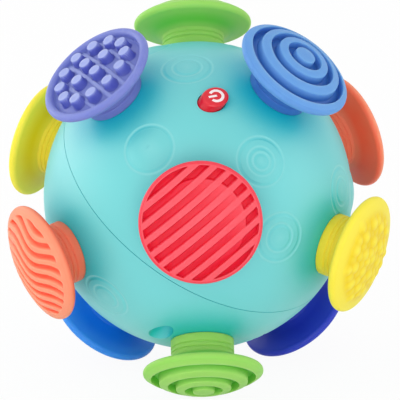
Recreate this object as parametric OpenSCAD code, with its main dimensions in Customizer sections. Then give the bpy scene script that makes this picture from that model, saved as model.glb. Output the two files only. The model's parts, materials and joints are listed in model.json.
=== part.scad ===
// Sensory ball: a hollow ball in two half shells with twelve soft textured knobs,
// a push button, a battery bay and a motor that swings an off-centre weight.
// The origin is the ball's centre and +Z is up as the ball rests on three knobs.
// The red knob at the front points to -Y.

/* [Ball] */
// Outer radius of the shell
shell_r = 70; // [66:0.5:76]
// Thickness of the shell wall
wall = 2.6; // [2.2:0.1:3.2]
// Width of the line left open between the half shells
seam_gap = 0.3; // [0.15:0.05:0.4]
// Height of the tongue that centres the half shells
tongue_h = 2; // [1.5:0.1:3]
// Thickness of that tongue
tongue_t = 1; // [0.8:0.1:1.2]

/* [Shell relief] */
// Radius of the outer ring of each round relief
relief_r = 10.8; // [9:0.2:12]
// Radius of the middle ring of a relief
relief_mid_r = 6; // [4.5:0.1:7]
// Radius of the inner ring of a relief
relief_in_r = 3.4; // [2.5:0.1:4]
// Radius of the round hollow of a ring groove
relief_tube = 3; // [2:0.1:3.2]
// Depth of a ring groove
relief_depth = 0.25; // [0.15:0.05:0.4]
// Rise of the raised domes inside their rings
relief_rise = 1; // [0.6:0.1:1.4]

/* [Knobs] */
// Widest radius of a knob head
knob_r = 27; // [25:0.5:28]
// Height of that widest circle above the shell
rim_lift = 13.4; // [12.6:0.2:15]
// Rounding radius of the head's edge
rim_round = 2; // [1.6:0.1:2.4]
// Radius of the neck
neck_r = 14.2; // [13:0.2:15.4]
// Straight height of the neck above the shell's radius
neck_h = 5.2; // [4.6:0.1:6]
// Radius of the hollow curve under the head
flare_r = 30; // [22:1:40]
// Radius of the stem in the shell's hole
stem_r = 10; // [9:0.2:11]
// Radius of the bore in the stem
bore_r = 6.5; // [5:0.1:7]
// Depth of the bore past the shell's radius
bore_up = 5.5; // [4:0.1:7]
// How far the bead behind the wall stands out
bead_out = 1.4; // [1:0.1:1.8]
// Thickness of that bead
bead_h = 2.6; // [2:0.1:3]
// Depth of the fine groove around the neck
neck_groove = 0.45; // [0.3:0.05:0.6]

/* [Ring knobs] */
// Rise of the ringed heads over their edge
ring_rise = 9.8; // [8:0.1:10.2]
// Radius of the middle post as a share of the head's radius inside its edge
post_share = 0.2; // [0.16:0.01:0.22]
// Spacing of the rings as a share of that radius
ring_share = 0.3; // [0.28:0.005:0.305]
// Share of that spacing that is groove
groove_share = 0.453; // [0.38:0.01:0.48]
// Depth of those grooves
ring_depth = 4; // [3:0.1:4.4]

/* [Ridge knobs] */
// Rise of the ridged heads over their edge
ridge_rise = 8; // [6.5:0.1:9]
// Spacing of the straight ridges
ridge_pitch = 6; // [5.4:0.1:6.2]
// Width of a ridge
ridge_w = 3; // [2.4:0.1:3.4]
// Depth of the valleys near the edge
ridge_depth = 2.6; // [2:0.1:2.8]
// Radius of the raised floor between the ridges
floor_r = 19.7; // [17:0.1:21]
// Side shift of that floor, which makes it climb to one end
floor_shift = 3.8; // [2:0.1:4.5]
// Drop of that floor below the dome
floor_drop = 1.65; // [1.2:0.05:2]

/* [Wave knobs] */
// Rise of the waved heads over their edge
wave_rise = 8; // [6.5:0.1:9]
// Spacing of the wavy grooves
wave_pitch = 5.2; // [4.8:0.1:5.6]
// Width of a wavy groove
wave_w = 2.3; // [1.8:0.1:2.6]
// Depth of a wavy groove
wave_depth = 2; // [1.4:0.1:2.4]
// Sideways swing of a wave
wave_amp = 1.8; // [1:0.1:2.2]
// Length of a wave
wave_len = 29; // [24:1:36]
// Place of a wave's crest along its groove
wave_start = 4; // [0:0.5:8]
// Width of the smooth band around the waves
wave_edge = 3.6; // [3.2:0.1:5]

/* [Peg knobs] */
// Rise of the peg field's floor over the edge
peg_floor = 2; // [1.4:0.1:2.6]
// Drop of that floor from its middle to the lip
peg_drop = 3.4; // [2.8:0.1:4]
// Radius of a peg
peg_r = 3; // [2.4:0.1:3.4]
// Height of a peg over the floor
peg_h = 4.2; // [3.6:0.1:4.6]
// Distance of the two inner side pegs from the middle
peg_side = 8.2; // [7.8:0.1:8.6]
// Distance of the other two inner pegs from the middle
peg_near = 5; // [4.4:0.1:5.4]
// Long radius of the oval that the twelve outer pegs stand on
peg_oval_x = 17.4; // [16.8:0.1:18]
// Short radius of that oval
peg_oval_y = 15.8; // [15.4:0.1:16.6]
// Spacing of the low ribs between the pegs
peg_column = 8.25; // [7.8:0.05:8.6]
// Width of a rib
peg_rib = 2; // [1.4:0.1:2.2]
// Height of those ribs
peg_rib_h = 0.7; // [0.5:0.1:1]

/* [Nub knobs] */
// Rise of the nubbed heads' dome over the edge
nub_rise = 6.2; // [5.5:0.1:7]
// Radius of a nub
nub_r = 3.5; // [3:0.1:3.8]
// Height of a nub over the dome
nub_h = 1.3; // [1:0.1:1.6]
// Spacing of the nubs
nub_pitch = 8.4; // [7.6:0.1:8.6]
// Width of the smooth band around the nubs
nub_band = 5.5; // [5:0.1:6.5]

/* [Button] */
// Radius of the button
button_r = 5.4; // [5:0.1:6]
// Gap around the button
button_gap = 0.4; // [0.3:0.05:0.6]
// Height of the button's top over the shell
button_lift = 3.2; // [2.6:0.1:3.8]
// Travel of the button
button_travel = 1.5; // [1:0.1:2]
// Length of the guide tube behind the wall
guide_h = 8; // [7:0.2:9]
// Wall of the guide tube
guide_wall = 1.6; // [1.2:0.1:2]
// Thickness of the flange that holds the button in
flange_h = 1.4; // [1:0.1:2]
// Radius of the switch stem
switch_stem_r = 1.6; // [1.4:0.1:2]
// Width of the push switch
switch_w = 8.4; // [7:0.1:10]
// Height of the push switch
switch_h = 7; // [6:0.1:9]
// Length of the circuit board
board_l = 34; // [32:1:40]
// Width of the circuit board
board_w = 18; // [14:1:22]
// Thickness of the circuit board
board_t = 1.6; // [1.2:0.1:2]
// Distance of each board post from the button's axis
board_post = 13; // [12.5:0.5:14]

/* [Shell screws] */
// Distance of the screws from the shell's inner wall at the seam
screw_inset = 6.6; // [6:0.2:8]
// Turn of each screw from the middle between two knobs
screw_lean = 17.3; // [16:0.1:18]
// Radius of a screw's shank
screw_r = 1.5; // [1.3:0.05:1.7]
// Radius of a screw's head
screw_head_r = 3; // [2.6:0.1:3.4]
// Height of a screw's head
screw_head_h = 2.2; // [1.8:0.1:2.6]
// Radius of the well that the head sits in
well_r = 4.4; // [4:0.1:4.8]
// Depth of the well's floor below the seam
well_floor = 14; // [10:0.5:18]
// Screw length above the chassis
screw_bite = 11; // [8:0.5:16]
// Radius of the small screws' shanks
small_r = 1.1; // [1:0.05:1.25]
// Radius of the small screws' heads
small_head_r = 2.1; // [1.8:0.1:2.3]
// Height of the small screws' heads
small_head_h = 1.4; // [1.2:0.1:1.6]

/* [Battery bay] */
// Radius of one cell
cell_r = 5.2; // [5:0.05:5.25]
// Length of one cell
cell_l = 43.6; // [42:0.1:44]
// Spacing of the three cells
cell_pitch = 11; // [10.8:0.1:11.2]
// Room for the contacts at each end of the cells
contact_room = 2.2; // [1.8:0.1:2.4]
// Wall of the battery box
box_wall = 1.5; // [1.2:0.1:1.8]
// Width of the ledge that the door rests on
ledge = 2.8; // [2.2:0.1:3]
// Thickness of that ledge
ledge_t = 1.6; // [1.2:0.1:2]
// Corner radius of the door
door_corner = 5; // [4:0.5:6]
// Distance of the door's screw from its end
door_screw_out = 2.6; // [2:0.1:3]
// Half width of the round tab at that screw
door_tab = 5.4; // [5.2:0.1:6]
// Gap around the door
door_gap = 0.35; // [0.25:0.05:0.5]

/* [Drive] */
// Thickness of the chassis plate
chassis_t = 3; // [2.4:0.1:4]
// Radius of the chassis plate
chassis_r = 37; // [35:1:40]
// Tooth size of the motor stage
mod_1 = 0.8; // [0.7:0.05:0.85]
// Tooth size of the output stage
mod_2 = 1; // [0.9:0.05:1.05]
// Teeth of both pinions
pinion_teeth = 12; // [12:1:14]
// Teeth of the wheel that the motor turns
wheel_teeth = 40; // [36:1:42]
// Teeth of the output gear
output_teeth = 36; // [34:1:38]
// Thickness of a gear
gear_t = 3; // [2.4:0.1:3.4]
// Sideways slack of each tooth flank
tooth_slack = 0.12; // [0.08:0.01:0.2]
// Radius of the output shaft
shaft_r = 2; // [1.5:0.1:2.5]
// Radius of the fixed pin and of the motor's shaft
pin_r = 1; // [0.8:0.05:1.2]
// Diameter of the motor
motor_d = 20; // [18:0.5:21]
// Width of the motor across its flats
motor_w = 15; // [13:0.5:16]
// Length of the motor
motor_l = 25; // [22:0.5:27]
// Radius of the swinging weight
weight_r = 30; // [26:0.5:33]
// Thickness of the swinging weight
weight_t = 11; // [8:0.5:13]
// Radius of the weight's hub
hub_r = 6.5; // [5.5:0.1:8]

/* [Clearances] */
// Gap between pieces that are seated on one another
seat = 0.05; // [0.03:0.01:0.1]
// Gap around a stem, a screw or a plug in its hole
hole_gap = 0.12; // [0.08:0.01:0.2]
// Gap of a shaft that runs in a bore
run = 0.05; // [0.03:0.01:0.08]
// Gap beside a turning piece
side_gap = 0.5; // [0.4:0.05:0.8]

/* [Hidden] */
$fn = 96;
// Overlap of shapes that are joined, and how far a cut runs past a face
merge = 0.2;
cut = 1;
tall = 20;
inner_r = shell_r - wall;
// Spheres inside the wall's thickness, where inner and outer features end
skin_out = shell_r - wall * 0.4;
skin_in = inner_r + wall * 0.4;
rim_z = shell_r + rim_lift;

// Angles between the directions of an icosahedron's corners and one of its faces
tilt_1 = acos(sqrt((5 + 2 * sqrt(5)) / 15));
tilt_2 = acos(sqrt((5 - 2 * sqrt(5)) / 15));
five = acos(1 / sqrt(5));

// Each knob's direction from the ball's centre and its turn about its own axis
site_purple_top = [tilt_1, -150, -5.4];
site_blue_top = [tilt_1, -30, 0];
site_green_top = [tilt_1, 90, 0];
site_red_front = [tilt_2, -90, 129];
site_orange_right = [tilt_2, 30, -15.6];
site_yellow_left = [tilt_2, 150, 0];
site_orange_left = [180 - tilt_2, -150, -15.6];
site_yellow_right = [180 - tilt_2, -30, 0];
site_red_back = [180 - tilt_2, 90, 129];
site_green_base = [180 - tilt_1, -90, 0];
site_blue_base = [180 - tilt_1, 150, 0];
site_purple_base = [180 - tilt_1, 30, -5.4];
SITES = [
  site_purple_top, site_blue_top, site_green_top, site_red_front, site_orange_right,
  site_yellow_left, site_orange_left, site_yellow_right, site_red_back,
  site_green_base, site_blue_base, site_purple_base
];

// Points of an arc from angle a0 to a1 about (cx, cz)
function arc(cx, cz, r, a0, a1, n) =
  [for (i = [0:n]) let (a = a0 + (a1 - a0) * i / n) [cx + r * cos(a), cz + r * sin(a)]];

// Points on a sphere about the ball's centre, from radius r0 to r1 off the axis
function ball_line(r, r0, r1, n) =
  [for (i = [0:n]) let (x = r0 + (r1 - r0) * i / n) [x, sqrt(r * r - x * x)]];

module at(site) {
  rotate([0, site[0], site[1]]) rotate([0, 0, site[2]]) children();
}

// The frame of the two half shells, whose axis is the blue knob's
module shell_frame() {
  rotate([0, tilt_1, -30]) children();
}

// Knobs: one revolved outline from the bore in the stem to the edge of the head

bead_r = stem_r + bead_out;
foot_z = sqrt(pow(inner_r - seat, 2) - bead_r * bead_r) - bead_h;
flare_z = shell_r + neck_h;
rim_x = knob_r - rim_round;
// Fine groove around the neck: its lower edge and half its width
groove_z = shell_r + neck_h * 0.62;
groove_half = 0.4;
bead_break = 0.8;

// Circle of the hollow curve: through the neck's end and tangent to the rounded edge
flare_dx = rim_x - neck_r;
flare_dz = rim_z - flare_z;
flare_d = norm([flare_dx, flare_dz]);
flare_a = (pow(flare_r, 2) - pow(flare_r + rim_round, 2) + flare_d * flare_d) / (2 * flare_d);
flare_h = sqrt(flare_r * flare_r - flare_a * flare_a);
flare_cx = neck_r + (flare_a * flare_dx + flare_h * flare_dz) / flare_d;
flare_cz = flare_z + (flare_a * flare_dz - flare_h * flare_dx) / flare_d;
flare_a0 = atan2(flare_z - flare_cz, neck_r - flare_cx);
flare_a1 = atan2(rim_z - flare_cz, rim_x - flare_cx);

// Radius of a dome that is tangent to the rounded edge, and its centre and edge angle
function dome_r(rise) =
  (rise * rise + rim_x * rim_x - rim_round * rim_round) / (2 * (rise - rim_round));
function dome_c(rise) = rim_z + rise - dome_r(rise);
function dome_a(rise) = acos(rim_x / (dome_r(rise) - rim_round));
function dome_z(rise, x) = dome_c(rise) + sqrt(pow(dome_r(rise), 2) - x * x);

knob_foot = concat(
  [[0, shell_r + bore_up], [bore_r, shell_r + bore_up], [bore_r, foot_z]],
  [[bead_r - bead_break, foot_z], [bead_r, foot_z + bead_break]],
  ball_line(inner_r - seat, bead_r, stem_r, 3),
  ball_line(shell_r + seat, stem_r, neck_r, 4),
  [[neck_r, groove_z], [neck_r - neck_groove, groove_z + groove_half]],
  [[neck_r, groove_z + 2 * groove_half]],
  arc(flare_cx, flare_cz, flare_r, flare_a0, flare_a1, 7)
);

// Rounded edge up to the angle where the top of the head begins
function knob_edge(to) = arc(rim_x, rim_z, rim_round, flare_a1 - 180, to, 9);

// Top of the head between two radii
function dome_line(rise, x0, x1, n) =
  [for (i = [0:n]) let (x = x0 + (x1 - x0) * i / n) [x, dome_z(rise, x)]];

// Distance from one bend of an outline to the next point on its dome
lead = 1.2;

module plain_knob(rise) {
  rotate_extrude()
    polygon(concat(
      knob_foot,
      knob_edge(dome_a(rise)),
      dome_line(rise, dome_r(rise) * cos(dome_a(rise)) - lead / 2, 0, 12)
    ));
}

// Ringed head: a post and rings with grooves between them
post_r = post_share * rim_x;
ring_pitch = ring_share * rim_x;
ring_gap = groove_share * ring_pitch;
ring_edges = [for (i = [0:2]) post_r + i * ring_pitch];
ring_break = 0.5;

// A groove outside radius x, seen from its outer wall to its inner wall
function ring_groove(x) = let (o = x + ring_gap) [
  [o + ring_break, dome_z(ring_rise, o + ring_break)],
  [o, dome_z(ring_rise, o) - ring_break],
  [o, dome_z(ring_rise, o) - ring_depth],
  [x, dome_z(ring_rise, x) - ring_depth],
  [x, dome_z(ring_rise, x) - ring_break],
  [x - ring_break, dome_z(ring_rise, x - ring_break)]
];

module ring_knob() {
  rotate_extrude()
    polygon(concat(
      knob_foot,
      knob_edge(dome_a(ring_rise)),
      ring_groove(ring_edges[2]),
      dome_line(ring_rise, ring_edges[2] - lead, ring_edges[1] + ring_gap + lead, 2),
      ring_groove(ring_edges[1]),
      dome_line(ring_rise, ring_edges[1] - lead, ring_edges[0] + ring_gap + lead, 2),
      ring_groove(ring_edges[0]),
      dome_line(ring_rise, post_r - lead, 0, 2)
    ));
}

// Textures are cut from a level below the edge to one above the dome
cut_below = 4;
cut_z = rim_z - cut_below;
cut_h = 16;

// Ridged head: straight valleys whose middle floor climbs towards one end
ridge_inset = 0.2;
ridge_field = rim_x - ridge_inset;
ridge_last = floor(rim_x / ridge_pitch);

module ridge_knob() {
  big = dome_r(ridge_rise);
  mid = dome_c(ridge_rise);
  difference() {
    plain_knob(ridge_rise);
    difference() {
      intersection() {
        union()
          for (k = [-ridge_last:ridge_last])
            translate([-knob_r, k * ridge_pitch - (ridge_pitch - ridge_w) / 2, cut_z])
              cube([2 * knob_r, ridge_pitch - ridge_w, cut_h]);
        cylinder(r = ridge_field, h = rim_z + tall);
      }
      translate([0, 0, mid])
        sphere(r = big - ridge_depth);
      intersection() {
        cylinder(r = floor_r, h = rim_z + tall);
        translate([floor_shift, 0, mid - floor_drop])
          sphere(r = big);
      }
    }
  }
}

// Waved head: a field of wavy grooves inside a smooth band
function wave_x(y) = wave_amp * cos(360 * (y - wave_start) / wave_len);
wave_field = knob_r - wave_edge;
wave_last = floor(wave_field / wave_pitch);
wave_step = 20;

module wave_band(mid) {
  polygon(concat(
    [for (i = [0:wave_step]) let (y = knob_r * (2 * i / wave_step - 1))
      [mid + wave_x(y) + wave_w / 2, y]],
    [for (i = [wave_step:-1:0]) let (y = knob_r * (2 * i / wave_step - 1))
      [mid + wave_x(y) - wave_w / 2, y]]
  ));
}

module wave_knob() {
  difference() {
    plain_knob(wave_rise);
    difference() {
      intersection() {
        union()
          for (k = [-wave_last:wave_last - 1])
            translate([0, 0, cut_z])
              linear_extrude(height = cut_h)
                wave_band((k + 0.5) * wave_pitch);
        cylinder(r = wave_field, h = rim_z + tall);
      }
      translate([0, 0, dome_c(wave_rise)])
        sphere(r = dome_r(wave_rise) - wave_depth);
    }
  }
}

// Pegged head: a lip around a domed floor with pegs and low ribs
lip_x = knob_r - 2 * rim_round;
peg_ball = (lip_x * lip_x + peg_drop * peg_drop) / (2 * peg_drop);
function peg_floor_z(x) = rim_z + peg_floor - peg_ball + sqrt(peg_ball * peg_ball - x * x);
// Four pegs around the middle and an oval of twelve around them
peg_outer = 12;
peg_points = concat(
  [[peg_side, 0], [-peg_side, 0], [0, peg_near], [0, -peg_near]],
  [for (k = [0:peg_outer - 1]) let (a = 360 * k / peg_outer)
    [peg_oval_x * cos(a), peg_oval_y * sin(a)]]
);
rib_places = [-1.5, -0.5, 0.5, 1.5];

// A peg that widens to its root under the floor and has a broken top edge
peg_root = 1;
peg_taper = 0.3;
peg_break = 0.5;
module peg(h) {
  rotate_extrude($fn = 48)
    polygon([
      [0, -peg_root], [peg_r + peg_taper, -peg_root],
      [peg_r, h - peg_break], [peg_r - peg_break, h], [0, h]
    ]);
}

module peg_knob() {
  rotate_extrude()
    polygon(concat(
      knob_foot,
      knob_edge(180),
      [for (i = [0:12]) let (x = lip_x * (1 - i / 12)) [x, peg_floor_z(x)]]
    ));
  for (p = peg_points)
    translate([p[0], p[1], peg_floor_z(norm(p))])
      peg(peg_h);
  intersection() {
    translate([0, 0, rim_z + peg_floor - peg_ball])
      difference() {
        sphere(r = peg_ball + peg_rib_h);
        sphere(r = peg_ball - 3 * merge);
      }
    union()
      for (c = rib_places)
        translate([c * peg_column - peg_rib / 2, -lip_x, cut_z])
          cube([peg_rib, 2 * lip_x, cut_h]);
    cylinder(r = lip_x + peg_taper, h = rim_z + tall);
  }
}

// Nubbed head: round nubs in a triangular pattern on a dome
nub_last = 4;
nub_field = rim_x - nub_band;
nub_points = [
  for (i = [-nub_last:nub_last])
    for (j = [-nub_last:nub_last])
      let (x = nub_pitch * (i + j / 2), y = nub_pitch * j * sqrt(3) / 2)
        if (norm([x, y]) < nub_field) [x, y]
];

module nub_knob() {
  plain_knob(nub_rise);
  for (p = nub_points)
    translate([p[0], p[1], dome_z(nub_rise, norm(p)) + nub_h - nub_r])
      sphere(r = nub_r, $fn = 48);
}

module knob_red_front() { color("#ee5a68") at(site_red_front) ridge_knob(); }
module knob_red_back() { color("#ee5a68") at(site_red_back) ridge_knob(); }
module knob_purple_top() { color("#8c8cd4") at(site_purple_top) peg_knob(); }
module knob_purple_base() { color("#8c8cd4") at(site_purple_base) peg_knob(); }
module knob_blue_top() { color("#5f9fe0") at(site_blue_top) ring_knob(); }
module knob_blue_base() { color("#5f9fe0") at(site_blue_base) ring_knob(); }
module knob_green_top() { color("#8fd45e") at(site_green_top) ring_knob(); }
module knob_green_base() { color("#8fd45e") at(site_green_base) ring_knob(); }
module knob_orange_left() { color("#f8906e") at(site_orange_left) wave_knob(); }
module knob_orange_right() { color("#f8906e") at(site_orange_right) wave_knob(); }
module knob_yellow_right() { color("#f6e04a") at(site_yellow_right) nub_knob(); }
module knob_yellow_left() { color("#f6e04a") at(site_yellow_left) nub_knob(); }

// Rigid plugs that spread the hollow stems from inside the ball
plug_h = 1.8;
plug_inset = 1;
plug_r = bead_r - plug_inset;
plug_deep = 7;
module knob_plugs() {
  color("#d8dde0")
    for (s = SITES)
      at(s) {
        translate([0, 0, foot_z - seat - plug_h])
          cylinder(r = plug_r, h = plug_h);
        translate([0, 0, foot_z - seat - merge])
          cylinder(r = bore_r - hole_gap, h = plug_deep);
      }
}

// Half shells, drawn in the frame whose axis is the blue knob's

hole_r = stem_r + hole_gap;
screw_ring = inner_r - screw_inset;
boss_wall = 3.2;
boss_r = screw_r + boss_wall;
well_wall = 1.4;
well_floor_t = 2.4;
chassis_top = chassis_t / 2;
// Turn from one screw or knob to the next around the shell's axis
fifth = 72;

// Side of each gap between two lower knobs that its screw stands on, and the turn there
screw_sides = [1, 1, 1, 1, -1];
function screw_turn(k) = fifth * (k - 1) + screw_lean * screw_sides[k];
well_polar = 180 - asin(screw_ring / shell_r);

// Places of the reliefs as angle from the shell's axis, turn and kind
button_polar = 29.2;
button_turn = -114.6;
reliefs_up = [
  [58.3, -108, 0], [58.3, -36, 1], [58.3, 36, 0], [58.3, 108, 1], [58.3, 180, 0],
  [34, -58.9, 2], [35, -152.1, 1], [45.5, 10.9, 1], [33, 80, 2], [33, 136, 1]
];
// The battery door and the screw wells are left free of reliefs
reliefs_low = [
  for (k = [0:4]) [118.2, -82.9 + fifth * k, 1],
  for (k = [0:4]) [150, -36 + fifth * k, 2]
];
door_site = [180 - tilt_1, 144, -120];
door_room = 33;
well_room = 13;
function dir(p, a) = [sin(p) * cos(a), sin(p) * sin(a), cos(p)];
function apart(a, b) = acos(min(1, dir(a[0], a[1]) * dir(b[0], b[1])));
function well_apart(s) = min([for (k = [0:4]) apart(s, [well_polar, screw_turn(k)])]);
reliefs_kept = [
  for (s = reliefs_low)
    if (apart(s, door_site) > door_room && well_apart(s) > well_room) s
];

// A soft ring groove: its round hollow is centred outside the shell
relief_grow = 1 + (relief_tube - relief_depth) / shell_r;
module relief_groove(r) {
  rotate_extrude()
    translate([r * relief_grow, relief_grow * sqrt(shell_r * shell_r - r * r)])
      circle(r = relief_tube, $fn = 48);
}

module relief_cuts(list) {
  for (s = list)
    rotate([0, s[0], s[1]]) {
      relief_groove(relief_r);
      if (s[2] > 0) relief_groove(relief_mid_r);
      if (s[2] > 1) relief_groove(relief_in_r);
    }
}

// Raised dome inside its ring
cap_inset = 1.4;
cap_x = relief_r - cap_inset;
cap_low = shell_r + relief_rise - sqrt(shell_r * shell_r - cap_x * cap_x);
cap_ball = (cap_x * cap_x + cap_low * cap_low) / (2 * cap_low);
module relief_domes(list) {
  for (s = list)
    if (s[2] == 0)
      rotate([0, s[0], s[1]])
        difference() {
          translate([0, 0, shell_r + relief_rise - cap_ball])
            sphere(r = cap_ball);
          sphere(r = skin_in);
        }
}

// Holes for the five knobs around the axis of a half shell, at one angle from that axis
hole_over = 6;
module stem_holes(polar, turn) {
  for (k = [0:4])
    rotate([0, polar, turn + fifth * k])
      translate([0, 0, inner_r - hole_over])
        cylinder(r = hole_r, h = wall + 2 * hole_over);
}

// Outline of a half shell with the hole at its pole, cut at height low
module half_outline(low) {
  difference() {
    intersection() {
      circle(r = shell_r, $fn = 180);
      translate([hole_r, low])
        square([shell_r, shell_r]);
    }
    circle(r = inner_r, $fn = 180);
  }
}

module in_screws() {
  for (k = [0:4])
    rotate([0, 0, screw_turn(k)])
      translate([screw_ring, 0, 0])
        children();
}

// Button frame: its axis is parallel to the shell's, the way the half shell leaves its mould
button_off = shell_r * sin(button_polar);
module button_frame() {
  rotate([0, 0, button_turn]) translate([button_off, 0, 0]) children();
}
guide_r = button_r + button_gap;
guide_low = sqrt(inner_r * inner_r - button_off * button_off) - guide_h;
flange_gap = 0.3;
flange_top = guide_low - flange_gap;
flange_r = guide_r + guide_wall - flange_gap;
stem_grip = 1.6;
stem_top = flange_top + stem_grip;
switch_room = 0.6;
switch_top = flange_top - flange_h - button_travel - switch_room;
board_top = switch_top - switch_h;
board_post_r = 2.7;
board_bite = 7;

module upper_shell() {
  color("#7fd0cf")
    shell_frame()
      difference() {
        union() {
          rotate_extrude($fn = 180)
            half_outline(seam_gap / 2);
          relief_domes(reliefs_up);
          intersection() {
            union() {
              in_screws()
                translate([0, 0, chassis_top + seat])
                  cylinder(r = boss_r, h = shell_r);
              button_frame() {
                translate([0, 0, guide_low])
                  cylinder(r = guide_r + guide_wall, h = shell_r);
                for (s = [-1, 1])
                  translate([0, s * board_post, board_top + seat])
                    cylinder(r = board_post_r, h = shell_r, $fn = 48);
              }
            }
            sphere(r = skin_out);
          }
        }
        rotate_extrude($fn = 180)
          translate([inner_r - cut, -cut])
            square([tongue_t + cut + hole_gap, tongue_h + cut + seam_gap / 2 + hole_gap]);
        stem_holes(five, 0);
        button_frame() {
          translate([0, 0, guide_low - cut])
            cylinder(r = guide_r, h = shell_r);
          for (s = [-1, 1])
            translate([0, s * board_post, board_top - cut])
              cylinder(r = small_r + seat, h = board_bite + 2 * cut, $fn = 32);
        }
        in_screws()
          cylinder(r = screw_r + seat, h = screw_bite + chassis_top + cut, $fn = 32);
        relief_cuts(reliefs_up);
      }
}

// Battery bay: its frame looks out of the shell at the door
module bay_frame() {
  at(door_site) children();
}
bay_l = cell_l + 2 * contact_room;
bay_slack = 1;
bay_w = 2 * cell_pitch + 2 * cell_r + bay_slack;
door_x1 = bay_l / 2 + ledge;
door_screw_x = -door_x1 - door_screw_out;
door_x0 = door_screw_x - door_tab;
door_y = bay_w / 2 + ledge;
ledge_top = sqrt(inner_r * inner_r - pow(norm([bay_l / 2, bay_w / 2]), 2));
ledge_low = ledge_top - ledge_t;
ear_h = 5;
ear_gap = 0.3;
ear_low = ledge_top - ear_h;
ear_x = -bay_l / 2 - box_wall - ear_gap;
ear_corner = 4;
cell_gap = 0.4;
cell_z = ledge_low - cell_r - cell_gap;
box_floor = cell_z - cell_r - seat;
door_deep = 9;
door_low = ledge_top - door_deep;
door_boss_r = 3.6;
door_boss_floor = 1.5;
// The door's screw head sits on a shelf in a pad that reaches below the wall
door_shelf_deep = 2.8;
door_shelf = sqrt(shell_r * shell_r - door_screw_x * door_screw_x) - door_shelf_deep;
pad_r = 4;
pad_t = 1.5;
pad_low = door_shelf - pad_t;
box_screw_out = 4.2;
box_screw_x = ear_x - box_screw_out;
box_screw_y = 11;
box_bite = 2.6;
rim_out = 1.5;

// A rectangle with round corners, from x0 to x1 and of half width y
module round_box(x0, x1, y, r, h) {
  linear_extrude(height = h)
    union() {
      translate([x0 + r, -y])
        square([x1 - x0 - 2 * r, 2 * y]);
      translate([x0, -y + r])
        square([x1 - x0, 2 * y - 2 * r]);
      for (x = [x0 + r, x1 - r])
        for (s = [-1, 1])
          translate([x, s * (y - r)])
            circle(r = r, $fn = 48);
    }
}

// Outline of the door: a rectangle with round corners and a round tab at its screw
module door_shape(grow, h) {
  round_box(-door_x1 - grow, door_x1 + grow, door_y + grow, door_corner + grow, h);
  translate([door_screw_x, -door_tab - grow, 0])
    cube([-door_screw_x, 2 * (door_tab + grow), h]);
  translate([door_screw_x, 0, 0])
    cylinder(r = door_tab + grow, h = h);
}

module lower_shell() {
  color("#7fd0cf")
    shell_frame()
      difference() {
        union() {
          mirror([0, 0, 1])
            rotate_extrude($fn = 180)
              half_outline(seam_gap / 2);
          rotate_extrude($fn = 180)
            translate([inner_r - 3 * merge, -tongue_h])
              square([tongue_t + 3 * merge, 2 * tongue_h + seam_gap / 2]);
          intersection() {
            union() {
              in_screws()
                translate([0, 0, -shell_r])
                  cylinder(r = well_r + well_wall, h = shell_r - well_floor + well_floor_t);
              in_screws()
                translate([0, 0, -shell_r])
                  cylinder(r = boss_r, h = shell_r - chassis_top - seat);
              bay_frame() {
                translate([0, 0, ledge_low])
                  door_shape(rim_out, shell_r);
                translate([0, 0, ear_low])
                  round_box(door_x0 - rim_out, ear_x, door_y + rim_out, ear_corner, shell_r);
                translate([door_screw_x, 0, door_low])
                  cylinder(r = door_boss_r, h = shell_r);
              }
            }
            sphere(r = skin_out);
          }
        }
        stem_holes(180 - five, 36);
        in_screws() {
          translate([0, 0, -shell_r - cut])
            cylinder(r = well_r, h = shell_r + cut - well_floor);
          translate([0, 0, -shell_r])
            cylinder(r = screw_r + hole_gap, h = shell_r, $fn = 32);
        }
        bay_frame() {
          difference() {
            translate([0, 0, door_low])
              door_shape(0, shell_r);
            sphere(r = inner_r);
          }
          translate([door_screw_x, 0, pad_low - seat])
            cylinder(r = pad_r + door_gap, h = tall);
          translate([-bay_l / 2, -bay_w / 2, ledge_low - cut])
            cube([bay_l, bay_w, tall]);
          translate([door_screw_x, 0, door_low + door_boss_floor])
            cylinder(r = small_r + run, h = tall, $fn = 32);
          for (t = [-1, 1])
            translate([box_screw_x, t * box_screw_y, ear_low - cut])
              cylinder(r = small_r + seat, h = box_bite + cut + merge, $fn = 32);
        }
        relief_cuts(reliefs_kept);
      }
}

// Screws, drawn head down with the head's flat at z = 0 and the shank along +Z.
// Shares of a head's radius and height, and of a shank's radius
head_taper = 0.8;
head_band = 0.6;
point_taper = 0.5;
point_h = 0.6;
cross_reach = 0.6;
cross_half = 0.11;
cross_deep = 0.55;
module screw(r, head_r, head_h, length) {
  body = length - r * point_h;
  difference() {
    union() {
      translate([0, 0, -head_h])
        cylinder(r1 = head_r * head_taper, r2 = head_r, h = head_h * (1 - head_band), $fn = 48);
      translate([0, 0, -head_h * head_band])
        cylinder(r = head_r, h = head_h * head_band, $fn = 48);
      translate([0, 0, -merge])
        cylinder(r = r, h = body + merge, $fn = 32);
      translate([0, 0, body])
        cylinder(r1 = r, r2 = r * point_taper, h = r * point_h, $fn = 32);
    }
    for (turn = [0, 90])
      rotate([0, 0, turn])
        translate([-head_r * cross_reach, -head_r * cross_half, -head_h - merge])
          cube([2 * head_r * cross_reach, 2 * head_r * cross_half, head_h * cross_deep + merge]);
  }
}

module shell_screws() {
  color("#c4c8cc")
    shell_frame()
      in_screws()
        translate([0, 0, -well_floor - seat])
          screw(screw_r, screw_head_r, screw_head_h, well_floor + chassis_top + screw_bite);
}

// Button, its switch and the circuit board

flange_low = flange_top - flange_h;
stem_deep = 3;
stem_low = switch_top - stem_deep;

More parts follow.
